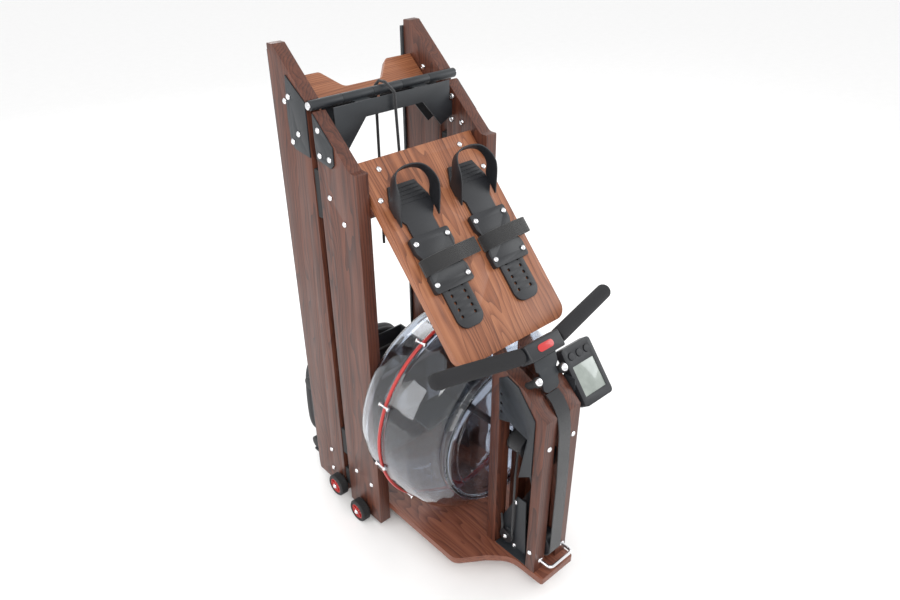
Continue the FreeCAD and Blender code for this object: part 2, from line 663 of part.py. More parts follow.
for side, minus, _ in SIDES:
    middle = f"{minus}foot_spread"
    tongue = board(f"slider_plate_{side}", "XY_Plane", [
        (f"{middle} - 34", "-388"), (f"{middle} + 34", "-388"), (f"{middle} + 34", "-150"),
        (f"{middle} + 50", "-128"), (f"{middle} + 50", "-104"), (f"{middle} + 34", "-66"),
        (f"{middle} - 34", "-66"), (f"{middle} - 50", "-104"), (f"{middle} - 50", "-128"),
        (f"{middle} - 34", "-150")], "0.5", "6", [("24", [0, 1])], False)
    holes = [(f"{middle} {way} 17.5", f"-{285 + 15.4 * k}") for way in "-+" for k in range(6)]
    cut(tongue, "XY_Plane", "0.5", "6", centres=holes, diameter="7")
    ribs = [primitive("Box", f"slider_rib_{side}_{k}", {"Length": "72", "Width": "3", "Height": "2"},
                      (f"{middle} - 36", f"-{86 + 13 * k}", "6.4")) for k in range(4)]
    outer = primitive("Cylinder", f"cup_outer_{side}", {"Radius": "52", "Height": "66"},
                      (middle, "-106", "0.5"))
    inner = primitive("Cylinder", f"cup_inner_{side}", {"Radius": "48.5", "Height": "90"},
                      (middle, "-106", "0"))
    band = subtract(f"cup_band_{side}", outer, inner, False)
    away = board(f"cup_away_{side}", "YZ_Plane", [
        ("-60", "-2"), ("-60", "22"), ("-72", "48"), ("-96", "56"), ("-128", "34"), ("-152", "6"),
        ("-152", "90"), ("-172", "90"), ("-172", "-2")], f"{middle} - 60", "120", (), False)
    cup = subtract(f"cup_{side}", band, away, False)
    whole = doc.addObject("Part::MultiFuse", f"foot_slider_{side}")
    whole.Shapes = [tongue, *ribs, cup]
    place(whole, **SLOPE)
    finish(whole, f"foot_slider_{side}")

doc.recompute()
foot_place = footboard.Placement


def on_slope(shape):
    """Shape drawn in the footboard's own frame, moved into place."""
    shape.Placement = foot_place.multiply(shape.Placement)
    return shape


thick = size("board_thick")
for x, y in HEEL_SCREWS:
    front_bolts.append(on_slope(dome_bolt(V(value(x), value(y), 0), V(0, 0, -1), 2 * thick)))
for x, y in BASE_SCREWS:
    front_bolts.append(on_slope(dome_screw(V(value(x), value(y), 12), V(0, 0, -1), 10 + thick)))
from_shape("front_bolts", Part.makeCompound(front_bolts))
from_shape("rear_bolts", Part.makeCompound(rear_bolts))


# ---------------------------------------------------------------- straps, cord, rods
def rounded_path(points, bend):
    """Wire of straight runs joined by arcs of one bend radius."""
    edges, last = [], points[0]
    for before, corner, after in zip(points, points[1:], points[2:]):
        enter, leave = (corner - before).normalize(), (after - corner).normalize()
        angle = enter.getAngle(leave)
        back = bend * math.tan(angle / 2)
        start, end = corner - enter * back, corner + leave * back
        inward = (leave - enter).normalize()
        middle = corner + inward * (bend / math.cos(angle / 2) - bend)
        edges += [Part.makeLine(last, start), Part.Arc(start, middle, end).toShape()]
        last = end
    edges.append(Part.makeLine(last, points[-1]))
    return Part.Wire(edges)


def rod(points, radius, bend):
    """Round rod or cord along a rounded path."""
    path = rounded_path(points, bend)
    ring = Part.Wire(Part.makeCircle(radius, points[0], points[1] - points[0]))
    return path.makePipeShell([ring], True, False)


deck_top = size("base_height") + thick
face = -size("frame_front")
tow = rod([V(-37, face, 107), V(-37, face - 34, 107), V(37, face - 34, 107), V(37, face, 107)], 3.5, 10)
collars = [Part.makeCylinder(7, 5, V(x, face, 107), V(0, -1, 0)) for x in (-37, 37)]
from_shape("tow_handle", tow.multiFuse(collars))

normal = V(0, -math.sin(math.radians(size("foot_angle"))), math.cos(math.radians(size("foot_angle"))))
frames = doc.getObject("drive_frame_left").Shape.fuse(doc.getObject("drive_frame_right").Shape)
pegs = []
for x in (-38, 38):
    foot = V(x, -468, size("shoulder") + 52)
    stem = Part.makeCylinder(8, 46, foot - normal * 12, normal).cut(frames)
    pad_end = Part.makeCylinder(11, 8, foot + normal * 30, normal)
    screw = Part.makeCylinder(7, 4, foot + normal * 38, normal)
    pegs.append(stem.multiFuse([pad_end, screw]))
from_shape("handle_pegs", Part.makeCompound(pegs))

tape, width = size("strap_thick"), size("strap_width")
wrap = size("pulley_radius") + tape / 2 + 0.5
axis = V(0, -size("pulley_reach"), size("pulley_height"))
shoulder = size("shoulder")
outer_y, inner_y = axis.y - wrap, axis.y + wrap


def strap_section(points):
    """Length of strap in the middle plane, from points of (y, z)."""
    strips = []
    for (y0, z0), (y1, z1) in zip(points, points[1:]):
        along = V(0, y1 - y0, z1 - z0)
        side = V(0, -along.z, along.y).normalize() * (tape / 2)
        start, end = V(-width / 2, y0, z0), V(-width / 2, y1, z1)
        ring = Part.makePolygon([start - side, end - side, end + side, start + side, start - side])
        strips.append(Part.Face(ring).extrude(V(width, 0, 0)))
        strips.append(Part.makeCylinder(tape / 2, width, end, V(1, 0, 0)))
    return strips


turn_points = [(axis.y - wrap * math.cos(math.radians(a)), axis.z - wrap * math.sin(math.radians(a)))
               for a in range(0, 181, 15)]
run = strap_section([(-500, shoulder + 38), (-517, shoulder + 26), (-534, shoulder + 1), (-542, shoulder - 40),
                     (outer_y, shoulder - 160), *turn_points, (inner_y, 166)])
drum_y = -size("tank_seam") - 193.5


def strap_ring(middle, turn, wide):
    """Cross-section of the strap turned about the vertical."""
    u = V(math.cos(turn), math.sin(turn), 0) * (wide / 2)
    v = V(-math.sin(turn), math.cos(turn), 0) * (tape / 2)
    return Part.makePolygon([middle + u + v, middle + u - v, middle - u - v, middle - u + v,
                             middle + u + v])


drum_side = size("drum_radius") + 1.6
low, high = V(0, inner_y, 165), V(drum_side, drum_y, size("tank_height") - 70)
twist = [strap_ring(low + (high - low) * (k / 6), math.pi / 2 * k / 6,
                    width + (34 - width) * k / 6) for k in range(7)]
run.append(Part.makeLoft(twist, True, True))
run.append(Part.Face(twist[-1]).extrude(V(0, 0, 70)))
coil = Part.makeCylinder(size("drum_radius") + 2.6, 34, V(0, drum_y + 17, size("tank_height")), V(0, -1, 0))
coil = coil.cut(Part.makeCylinder(size("drum_radius") + 0.2, 40, V(0, drum_y + 20, size("tank_height")),
                                  V(0, -1, 0)))
run.append(coil)
from_shape("drive_strap", run[0].multiFuse(run[1:]))

top = size("hinge_height")
cord = rod([V(-12, 20.9, top - 358), V(-12, 20.9, top + 4), V(-12, 8, top + 16), V(-10, -10, top + 16),
            V(-7, -36, top), V(4, -34, top - 188), V(4, -190, top - 242)], 3.2, 5)
side = -36.5
return_run = rod([V(side + 4.3, -447.7, 371), V(side, -447.7, 300), V(side, -447.7, 88.3), V(side, -416.3, 88.3),
                  V(side, -416.3, 130), V(side, -411.9, 160)], 2.4, 15.6)
from_shape("shock_cord", Part.makeCompound([cord, return_run]))


def foot_strap(middle, half):
    """Toe strap: a flat band that arches over the foot plate and meets both sides of its base."""
    profile = [(-half, 6), (-half, 16), (-half * 0.72, 27), (-half * 0.3, 31), (half * 0.3, 31),
               (half * 0.72, 27), (half, 16), (half, 6)]
    outer = [V(middle + x, -258, z) for x, z in profile]
    inner = [V(middle + x * 0.965, -258, z - 2.2 if k not in (0, 7) else z)
             for k, (x, z) in enumerate(profile)]
    ring = Part.makePolygon([*outer, *reversed(inner), outer[0]])
    return on_slope(Part.Face(ring).extrude(V(0, 34, 0)))


from_shape("foot_straps", Part.makeCompound([
    foot_strap(sign * size("foot_spread"), 46.4) for sign in (-1, 1)]))

# ---------------------------------------------------------------- handle
reach, tall = -size("handle_reach"), size("handle_height")
bars, grips = [], []
for sign in (-1, 1):
    root, tip = V(sign * 40, reach, tall), V(sign * size("handle_half"), reach + 39, tall + 20)
    way = (tip - root).normalize()
    length = (tip - root).Length
    bars.append(Part.makeCylinder(size("bar_radius"), length - 6, root, way))
    sleeve = Part.makeCylinder(size("grip_radius"), length - 22, root + way * 22, way)
    hollow = Part.makeCylinder(size("bar_radius") + 0.2, length - 27, root + way * 21, way)
    sleeve = sleeve.makeFillet(6, [e for e in sleeve.Edges if len(e.Vertexes) == 1
                                   and (e.CenterOfMass - tip).Length < 2])
    grips.append(sleeve.cut(hollow))
box = Part.makeBox(100, 38, 38, V(-50, -19, -19))
box = box.makeFillet(7, box.Edges)
badge = Part.makeBox(36, 13, 1.2, V(-18, -6.5, 18.7))
badge = badge.makeFillet(6, [e for e in badge.Edges if abs(e.Length - 1.2) < 1e-6])
tilt = FreeCAD.Placement(V(0, reach, tall), FreeCAD.Rotation(V(1, 0, 0), size("foot_angle")))
for shape in (box, badge):
    shape.Placement = tilt
from_shape("handle_bar", box.multiFuse([*bars, badge]))
from_shape("handle_grips", Part.makeCompound(grips))
plate_base = FreeCAD.Placement(V(0, -474, 622), FreeCAD.Rotation(V(1, 0, 0), 70))
yoke = Part.makeBox(48, 76, 4, V(-24, -76, -2))
yoke = yoke.makeFillet(20, [e for e in yoke.Edges if abs(e.Length - 4) < 1e-6
                            and e.CenterOfMass.y < -70])
yoke.Placement = plate_base
yoke = yoke.cut(box)
from_shape("handle_yoke", yoke)

# ---------------------------------------------------------------- monitor
TILT = dict(base=("105", "-498", "shoulder + 35"), axis=(1, 0, 0), angle="51.5")
housing = board("monitor_housing", "XY_Plane", [
    ("-44.5", "-65"), ("44.5", "-65"), ("44.5", "65"), ("-44.5", "65")], "-10", "20",
    [("9", [0, 1, 2, 3])])
cut(housing, "XY_Plane", "7.5", "3", corners=[
    ("-33", "-46"), ("33", "-46"), ("33", "22"), ("-33", "22")])
buttons = [("-24", "43"), ("0", "43"), ("24", "43")]
cut(housing, "XY_Plane", "4", "6", centres=buttons, diameter="17")
cut(housing, "YZ_Plane", "-45", "26", centres=[("0", "0")], diameter="10.1")
place(housing, **TILT)
screen = board("monitor_screen", "XY_Plane", [
    ("-32.9", "-45.9"), ("32.9", "-45.9"), ("32.9", "21.9"), ("-32.9", "21.9")], "7.51", "1.4")
place(screen, **TILT)
doc.recompute()
for label, (x, y) in zip(("left", "middle", "right"), buttons):
    knob = Part.makeCylinder(8.2, 6.5, V(float(x), float(y), 5.6))
    knob = knob.makeFillet(1, [knob.Edges[0]])
    knob.Placement = housing.Placement
    from_shape(f"button_{label}", knob)
arm = board("monitor_arm", "YZ_Plane", [
    ("-500", "shoulder - 20"), ("-478", "shoulder - 20"), ("-476", "shoulder + 20"),
    ("-482", "shoulder + 46"), ("-512", "shoulder + 46"), ("-514", "shoulder + 20")],
    "frame_half + sheet_thick", "3", (), False)
pin = primitive("Cylinder", "monitor_pin", {"Radius": "5", "Height": "26"},
                ("frame_half + sheet_thick + 2", "-498", "shoulder + 35"), (0, 1, 0), "90")
fuse("monitor_bracket", [arm, pin])

# ---------------------------------------------------------------- wheels
for half, (across, up) in (("front", FRONT_AXLE), ("rear", REAR_AXLE)):
    for side, minus, _ in SIDES:
        hub = turned(f"{half}_hub_{side}", [
            ("bolt_radius + running", "-wheel_width / 2"), ("wheel_radius - 9", "-wheel_width / 2"),
            ("wheel_radius - 9", "wheel_width / 2"), ("bolt_radius + running", "wheel_width / 2")])
        tyre = turned(f"{half}_tyre_{side}", [
            ("wheel_radius - 8.9", "-wheel_width / 2"), ("wheel_radius - 4", "-wheel_width / 2"),
            ("wheel_radius", "-wheel_width / 2 + 4"), ("wheel_radius", "wheel_width / 2 - 4"),
            ("wheel_radius - 4", "wheel_width / 2"), ("wheel_radius - 8.9", "wheel_width / 2")])
        for item in (hub, tyre):
            parts.remove(item)
            place(item, (f"{minus}(half_width + wheel_gap + wheel_width / 2)", across, up), (0, 1, 0), "90")
        group(f"{half}_wheel_{side}", [hub, tyre])

# ---------------------------------------------------------------- rear half
track_y = "hinge_gap + rear_depth"
tracks = []
for side, _, _ in SIDES:
    start = f"-({INNER} + 27)" if side == "left" else f"{INNER} + 27 - track_width"
    tracks.append(primitive("Box", f"track_{side}", {
        "Length": "track_width", "Width": "track_thick", "Height": "hinge_height + 84 - rear_lift"},
        (start, track_y, "rear_lift")))
group("seat_tracks", tracks)
cross = board("rear_cross_plank", "XY_Plane", [
    (f"-({INNER} - 0.4)", "-12"), (f"{INNER} - 0.4", "-12"), (f"{INNER} - 0.4", "103"), ("88", "103"),
    ("50", "58"), ("-50", "58"), ("-88", "103"), (f"-({INNER} - 0.4)", "103")],
    "-52 - board_thick", "board_thick", [("12", [3, 6]), ("22", [4, 5])])
place(cross, ("0", "0", "hinge_height"), (1, 0, 0), "atan(slant) * 1")
board("rear_end_board", "XY_Plane", [
    (f"-({INNER} - 0.4)", "hinge_gap + 22"), (f"{INNER} - 0.4", "hinge_gap + 22"),
    (f"{INNER} - 0.4", "hinge_gap + rear_depth - 12"), (f"-({INNER} - 0.4)", "hinge_gap + rear_depth - 12")],
    "rear_lift + 4", "board_thick")
stops = []
for side, _, _ in SIDES:
    x = f"-({INNER} + 25)" if side == "left" else f"{INNER} + 5"
    base = primitive("Box", f"stop_base_{side}", {"Length": "20", "Width": "4", "Height": "36"},
                     (x, f"{track_y} + track_thick", "seat_height - 170"))
    post = primitive("Box", f"stop_post_{side}", {"Length": "20", "Width": "22", "Height": "6"},
                     (x, f"{track_y} + track_thick", "seat_height - 140"))
    whole = doc.addObject("Part::MultiFuse", f"stop_{side}")
    whole.Shapes = [base, post]
    stops.append(whole)
group("seat_stops", stops)

# ---------------------------------------------------------------- seat
roll_y = f"{track_y} + track_thick + roller_radius + 0.05"
AXLES = {"front": "seat_height + 85", "rear": "seat_height - 115"}
flange = f"({INNER} - 7)"
plates = [primitive("Box", "carriage_top", {
    "Length": f"2 * {flange}", "Width": "4", "Height": "250"},
    (f"-{flange}", f"{roll_y} + 22", "seat_height - 132"))]
holes = []
for side, _, _ in SIDES:
    x = f"-{flange}" if side == "left" else f"{flange} - 4"
    plates.append(primitive("Box", f"carriage_side_{side}", {
        "Length": "4", "Width": "62", "Height": "250"}, (x, f"{roll_y} - 36", "seat_height - 132")))
    lip = f"-{INNER} + 1" if side == "left" else f"{INNER} - 11"
    plates.append(primitive("Box", f"carriage_lip_{side}", {
        "Length": "10", "Width": "5", "Height": "200"}, (lip, f"{track_y} - 5.7", "seat_height - 100")))
for name, up in AXLES.items():
    holes.append(primitive("Cylinder", f"carriage_bore_{name}", {
        "Radius": "5.05", "Height": "2 * half_width"}, ("-half_width", roll_y, up), (0, 1, 0), "90"))
carriage_solid = doc.addObject("Part::MultiFuse", "carriage_solid")
carriage_solid.Shapes = plates
carriage_bores = doc.addObject("Part::MultiFuse", "carriage_bores")
carriage_bores.Shapes = holes
subtract("seat_carriage", carriage_solid, carriage_bores)
for name, up in AXLES.items():
    spindle = primitive("Cylinder", f"spindle_{name}", {"Radius": "5", "Height": f"2 * ({INNER} + 20)"},
                        (f"-({INNER} + 20)", roll_y, up), (0, 1, 0), "90")
    rolls = [primitive("Cylinder", f"roll_{name}_{side}", {"Radius": "roller_radius", "Height": "20"},
                       (f"-({INNER} + 22)" if side == "left" else f"{INNER} + 2", roll_y, up), (0, 1, 0), "90")
             for side in ("left", "right")]
    fuse(f"seat_rollers_{name}", [spindle, *rolls])
seat = board("seat_pad", "XZ_Plane", [
    ("-(seat_half + 15)", "seat_height - 60"), ("-seat_half", "seat_height - seat_length / 2"),
    ("-40", "seat_height - seat_length / 2 - 8"), ("40", "seat_height - seat_length / 2 - 8"),
    ("seat_half", "seat_height - seat_length / 2"), ("seat_half + 15", "seat_height - 60"),
    ("seat_half + 5", "seat_height + seat_length / 2"), ("-(seat_half + 5)", "seat_height + seat_length / 2")],
    f"-({roll_y} + 26.1) - seat_thick", "seat_thick", [("40", [0, 5]), ("30", [1, 4, 6, 7])])

# ---------------------------------------------------------------- check and write
doc.recompute()
bad = [item.Name for item in doc.Objects if {"Invalid", "Error"} & set(item.State)]
for item in parts:
    if item.Shape.isNull() or not item.Shape.isValid() or not item.Shape.Solids:
        bad.append(item.Label)
if bad:
    raise RuntimeError("not built: " + ", ".join(bad))
os.makedirs("parts", exist_ok=True)
for item in parts:
    item.Shape.exportStep(f"parts/{item.Label}.step")
print(len(parts), "sub-parts written")
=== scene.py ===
"""Looks of the folding water rower. Metres; +Z up, -Y towards the tank, X along the hinge."""
import bpy
import bmesh
import json
import math
from mathutils import Matrix, Vector


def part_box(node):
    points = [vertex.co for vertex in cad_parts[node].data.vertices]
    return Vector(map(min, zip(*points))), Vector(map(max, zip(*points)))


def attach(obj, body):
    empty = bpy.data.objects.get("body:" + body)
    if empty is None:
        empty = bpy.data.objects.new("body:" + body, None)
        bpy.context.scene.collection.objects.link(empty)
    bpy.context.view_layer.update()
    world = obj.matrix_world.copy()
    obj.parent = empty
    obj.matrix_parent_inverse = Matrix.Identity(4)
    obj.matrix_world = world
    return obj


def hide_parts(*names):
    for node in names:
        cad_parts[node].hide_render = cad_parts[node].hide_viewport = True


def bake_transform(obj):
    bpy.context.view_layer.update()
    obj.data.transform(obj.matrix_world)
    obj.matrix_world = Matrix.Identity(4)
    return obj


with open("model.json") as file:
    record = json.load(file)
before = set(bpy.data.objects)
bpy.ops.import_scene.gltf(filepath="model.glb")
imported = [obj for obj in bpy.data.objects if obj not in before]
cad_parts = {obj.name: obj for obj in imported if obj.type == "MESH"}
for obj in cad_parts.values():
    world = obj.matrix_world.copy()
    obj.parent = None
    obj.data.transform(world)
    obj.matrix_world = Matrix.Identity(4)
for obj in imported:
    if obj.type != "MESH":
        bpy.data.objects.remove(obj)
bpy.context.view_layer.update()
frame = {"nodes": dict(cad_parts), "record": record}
NODES = frame["nodes"]
BODY = {n: b for b, members in frame["record"]["behaviour"]["bodies"].items() for n in members}
scene = bpy.context.scene
link = scene.collection.objects.link
SLOPE = 47.1                       # footboard, in degrees
HINGE = 1.058                      # hinge axis above the floor
BOARD_START = (0, -0.0895, HINGE - 0.102)
HANDLE_START = (0, -0.461, 0.636)
GRIP_ROOT, GRIP_TIP = (0.040, -0.461, 0.636), (0.259, -0.422, 0.656)
SHOULDER = 0.511                   # drive frame's shoulder
FOOT_SPREAD = 0.081                # foot plates from the middle


# ------------------------------------------------------------------ camera, light, floor
def look():
    azimuth, elevation, roll = (math.radians(v) for v in (-41.6, 32.7, -0.6))
    back = Vector((math.sin(azimuth) * math.cos(elevation), -math.cos(azimuth) * math.cos(elevation),
                   math.sin(elevation)))
    right = (-back).cross(Vector((0, 0, 1))).normalized()
    up = right.cross(-back)
    x = right * math.cos(roll) + up * math.sin(roll)
    y = up * math.cos(roll) - right * math.sin(roll)
    data = bpy.data.cameras.new("view")
    data.sensor_width = 36
    data.lens = 29.82
    data.shift_x, data.shift_y = 0.0086, 0.0353
    cam = bpy.data.objects.new("view", data)
    link(cam)
    cam.matrix_world = Matrix.Translation((-0.9634, -1.2528, 1.4672)) @ Matrix(
        (x, y, back)).transposed().to_4x4()
    scene.camera = cam


def area_light(name, spot, target, size, power, tint=(1, 1, 1)):
    data = bpy.data.lights.new(name, "AREA")
    data.shape, data.size, data.size_y = "RECTANGLE", size[0], size[1]
    data.energy, data.color = power, tint
    lamp = bpy.data.objects.new(name, data)
    link(lamp)
    lamp.location = spot
    lamp.rotation_mode = "QUATERNION"
    lamp.rotation_quaternion = (Vector(target) - Vector(spot)).to_track_quat("-Z", "Y")


look()
area_light("key", (-1.6, -2.4, 3.0), (0, 0, 0.5), (1.6, 1.6), 52, (1, 0.98, 0.95))
area_light("side", (-2.8, 0.6, 1.6), (0, 0, 0.6), (1.2, 1.8), 22)
area_light("fill", (2.6, -1.6, 1.8), (0, 0, 0.5), (1.6, 1.6), 22, (0.95, 0.98, 1))
area_light("back", (0.6, 2.6, 2.6), (0, 0, 0.7), (1.8, 1.2), 30)
world = bpy.data.worlds.new("studio")
scene.world = world
world.use_nodes = True
world.node_tree.nodes["Background"].inputs[0].default_value = (1, 1, 1, 1)
world.node_tree.nodes["Background"].inputs[1].default_value = 1.0
scene.view_settings.view_transform = "Standard"


# ------------------------------------------------------------------ materials
class Paint:
    """A material and short ways to add and join its nodes."""

    def __init__(self, name):
        self.mat = bpy.data.materials.new(name)
        self.mat.use_nodes = True
        self.tree = self.mat.node_tree
        self.shader = self.tree.nodes["Principled BSDF"]
        self.where = self.add("ShaderNodeTexCoord").outputs["Object"]

    def add(self, kind, **values):
        node = self.tree.nodes.new(kind)
        for key, value in values.items():
            if isinstance(value, bpy.types.NodeSocket):
                self.tree.links.new(value, node.inputs[key])
            elif key in node.inputs:
                node.inputs[key].default_value = value
            else:
                setattr(node, key, value)
        return node

    def set(self, **values):
        for key, value in values.items():
            socket = self.shader.inputs[key.replace("_", " ")]
            if isinstance(value, bpy.types.NodeSocket):
                self.tree.links.new(value, socket)
            else:
                socket.default_value = value

    def math(self, operation, a, b):
        node = self.tree.nodes.new("ShaderNodeMath")
        node.operation = operation
        for k, value in enumerate((a, b)):
            if isinstance(value, bpy.types.NodeSocket):
                self.tree.links.new(value, node.inputs[k])
            else:
                node.inputs[k].default_value = value
        return node.outputs[0]

    def ramp(self, factor, stops):
        node = self.tree.nodes.new("ShaderNodeValToRGB")
        self.tree.links.new(factor, node.inputs[0])
        ends = node.color_ramp.elements
        while len(ends) < len(stops):
            ends.new(0.5)
        for end, (at, color) in zip(ends, stops):
            end.position = at
            end.color = (*color, 1)
        return node.outputs[0]

    def stretch(self, vector, scale, turn=(0, 0, 0)):
        node = self.tree.nodes.new("ShaderNodeMapping")
        self.tree.links.new(vector, node.inputs[0])
        node.inputs["Rotation"].default_value = turn
        node.inputs["Scale"].default_value = scale
        return node.outputs[0]

    def noise(self, vector, scale, detail=4, rough=0.5, distort=0.0):
        node = self.tree.nodes.new("ShaderNodeTexNoise")
        self.tree.links.new(vector, node.inputs["Vector"])
        for key, value in (("Scale", scale), ("Detail", detail), ("Roughness", rough),
                           ("Distortion", distort)):
            node.inputs[key].default_value = value
        return node.outputs["Fac"]

    def bump(self, height, strength, distance=0.001):
        node = self.tree.nodes.new("ShaderNodeBump")
        self.tree.links.new(height, node.inputs["Height"])
        node.inputs["Strength"].default_value = strength
        node.inputs["Distance"].default_value = distance
        self.set(Normal=node.outputs[0])

    def group(self, tree, **values):
        node = self.tree.nodes.new("ShaderNodeGroup")
        node.node_tree = tree
        for key, value in values.items():
            socket = node.inputs[key]
            if isinstance(value, bpy.types.NodeSocket):
                self.tree.links.new(value, socket)
            else:
                socket.default_value = value
        return node


def handling_marks():
    """Shared effect: soft smudges and fine scratches as one value each."""
    tree = bpy.data.node_groups.new("handling_marks", "ShaderNodeTree")
    face = tree.interface
    face.new_socket("Vector", in_out="INPUT", socket_type="NodeSocketVector")
    face.new_socket("Size", in_out="INPUT", socket_type="NodeSocketFloat")
    face.new_socket("Smudge", in_out="OUTPUT", socket_type="NodeSocketFloat")
    face.new_socket("Fine", in_out="OUTPUT", socket_type="NodeSocketFloat")
    given = tree.nodes.new("NodeGroupInput")
    out = tree.nodes.new("NodeGroupOutput")
    for name, factor, detail in (("Smudge", 1.0, 3), ("Fine", 60.0, 2)):
        scaled = tree.nodes.new("ShaderNodeMath")
        scaled.operation = "MULTIPLY"
        scaled.inputs[1].default_value = factor
        tree.links.new(given.outputs["Size"], scaled.inputs[0])
        noise = tree.nodes.new("ShaderNodeTexNoise")
        noise.inputs["Detail"].default_value = detail
        tree.links.new(given.outputs["Vector"], noise.inputs["Vector"])
        tree.links.new(scaled.outputs[0], noise.inputs["Scale"])
        tree.links.new(noise.outputs["Fac"], out.inputs[name])
    return tree


MARKS = handling_marks()


def wood(name, grain, tones, seed=0.0, gloss=0.40):
    """Stained ash: long pores, arched rings and slow tone drift along the grain axis."""
    p = Paint(name)
    turn = {"x": (0, 0, 0), "y": (0, 0, math.pi / 2), "z": (0, math.pi / 2, 0),
            "slope": (0, 0, math.pi / 2)}[grain]
    where = p.where
    if grain == "slope":
        where = p.stretch(where, (1, 1, 1), (-math.radians(SLOPE), 0, 0))
    along = p.stretch(where, (1, 1, 1), turn)
    shifted = p.add("ShaderNodeVectorMath", operation="ADD")
    p.tree.links.new(along, shifted.inputs[0])
    shifted.inputs[1].default_value = (seed, seed * 0.37, seed * 0.71)
    along = shifted.outputs[0]
    warp = p.noise(p.stretch(along, (1.1, 7, 7)), 1.0, 3, 0.5)
    lifted = p.add("ShaderNodeVectorMath", operation="ADD")
    p.tree.links.new(p.stretch(along, (0.22, 1, 1)), lifted.inputs[0])
    spread = p.add("ShaderNodeCombineXYZ")
    p.tree.links.new(p.math("MULTIPLY", warp, 0.16), spread.inputs["Y"])
    p.tree.links.new(p.math("MULTIPLY", warp, 0.10), spread.inputs["Z"])
    p.tree.links.new(spread.outputs[0], lifted.inputs[1])
    rings = p.add("ShaderNodeTexWave", wave_profile="SAW", rings_direction="X")
    rings.wave_type = "RINGS"
    rings.inputs["Scale"].default_value = 52
    rings.inputs["Distortion"].default_value = 1.2
    rings.inputs["Detail"].default_value = 2
    p.tree.links.new(lifted.outputs[0], rings.inputs["Vector"])
    pores = p.noise(p.stretch(along, (9, 620, 620)), 1.0, 3, 0.7)
    streak = p.noise(p.stretch(along, (2.2, 90, 90)), 1.0, 4, 0.6, 0.2)
    drift = p.noise(p.stretch(along, (1, 5, 5)), 2.0, 2)
    late = p.math("POWER", rings.outputs["Fac"], 2.6)
    mixed = p.math("SUBTRACT", 0.62, p.math("MULTIPLY", late, 0.36))
    mixed = p.math("ADD", mixed, p.math("MULTIPLY", p.math("SUBTRACT", streak, 0.5), 0.75))
    mixed = p.math("ADD", mixed, p.math("MULTIPLY", p.math("SUBTRACT", pores, 0.5), 0.60))
    mixed = p.math("ADD", mixed, p.math("MULTIPLY", p.math("SUBTRACT", drift, 0.5), 0.45))
    p.set(Base_Color=p.ramp(mixed, [(0.10, tones[0]), (0.48, tones[1]), (0.86, tones[2])]))
    marks = p.group(MARKS, Vector=p.where, Size=9.0)
    p.set(Roughness=p.math("ADD", gloss, p.math("MULTIPLY", marks.outputs["Smudge"], 0.16)),
          Coat_Weight=0.12, Coat_Roughness=0.22)
    p.bump(p.math("SUBTRACT", pores, p.math("MULTIPLY", late, 0.4)), 0.20, 0.0005)
    return p.mat


def plain(name, color, rough, metal=0.0, grit=900.0, relief=0.08, coat=0.0, spread=0.25):
    """Painted, plated or moulded surface: slight tone change, smudges and its own grit."""
    p = Paint(name)
    marks = p.group(MARKS, Vector=p.where, Size=14.0)
    dark = tuple(c * (1 - spread) for c in color)
    light = tuple(min(1, c * (1 + spread)) for c in color)
    p.set(Base_Color=p.ramp(marks.outputs["Smudge"], [(0.25, dark), (0.75, light)]), Metallic=metal)
    p.set(Roughness=p.math("ADD", rough - 0.06, p.math("MULTIPLY", marks.outputs["Smudge"], 0.12)),
          Coat_Weight=coat)
    p.bump(p.noise(p.where, grit, 2), relief, 0.0004)
    return p.mat


def webbing(name, color, lines, axis):
    """Woven tape: ribs across the length and a fine twill."""
    p = Paint(name)
    rib = p.add("ShaderNodeTexWave", bands_direction=axis)
    rib.inputs["Scale"].default_value = lines
    rib.inputs["Distortion"].default_value = 0.6
    p.tree.links.new(p.where, rib.inputs["Vector"])
    fuzz = p.noise(p.where, 1600, 2)
    both = p.math("ADD", rib.outputs["Fac"], p.math("MULTIPLY", fuzz, 0.7))
    p.set(Base_Color=p.ramp(both, [(0.3, tuple(c * 0.55 for c in color)), (1.2 / 1.7, color)]),
          Roughness=0.85, Sheen_Weight=0.25)
    p.bump(both, 0.5, 0.0006)
    return p.mat


RAIL = ((0.020, 0.006, 0.004), (0.074, 0.020, 0.010), (0.145, 0.044, 0.022))
FACE = ((0.078, 0.021, 0.009), (0.255, 0.086, 0.036), (0.420, 0.172, 0.080))
BASE = ((0.045, 0.013, 0.007), (0.150, 0.045, 0.024), (0.250, 0.090, 0.050))
DARK = ((0.022, 0.008, 0.006), (0.070, 0.025, 0.017), (0.140, 0.052, 0.034))
WOODS = {name: wood("wood_" + letter, grain, tones, seed) for name, letter, grain, tones, seed in (
    ("front_rail_left", "a", "z", RAIL, 0.3), ("front_rail_right", "b", "z", RAIL, 1.7),
    ("rear_rail_left", "c", "z", RAIL, 2.9), ("rear_rail_right", "d", "z", RAIL, 4.1),
    ("footboard", "e", "slope", FACE, 5.2), ("heel_crossbar", "f", "x", RAIL, 6.0),
    ("base_board", "g", "y", BASE, 7.4), ("tank_cradle", "h", "x", DARK, 8.0),
    ("drive_frame_left", "i", "z", RAIL, 9.1), ("drive_frame_right", "j", "z", RAIL, 10.3),
    ("rear_cross_plank", "k", "x", FACE, 11.0), ("rear_end_board", "l", "x", RAIL, 12.0))}
STEEL = plain("black_powder_coat", (0.017, 0.020, 0.024), 0.46, 0.0, 1400, 0.25)
CHROME = plain("chrome_plate", (0.80, 0.80, 0.82), 0.14, 1.0, 500, 0.02, spread=0.06)
RUBBER = plain("rubber_block", (0.012, 0.012, 0.013), 0.72, 0.0, 700, 0.2)
FOAM = plain("grip_foam", (0.013, 0.013, 0.015), 0.88, 0.0, 1900, 0.7)
PLASTIC = plain("moulded_black", (0.012, 0.013, 0.016), 0.42, 0.0, 2200, 0.2)
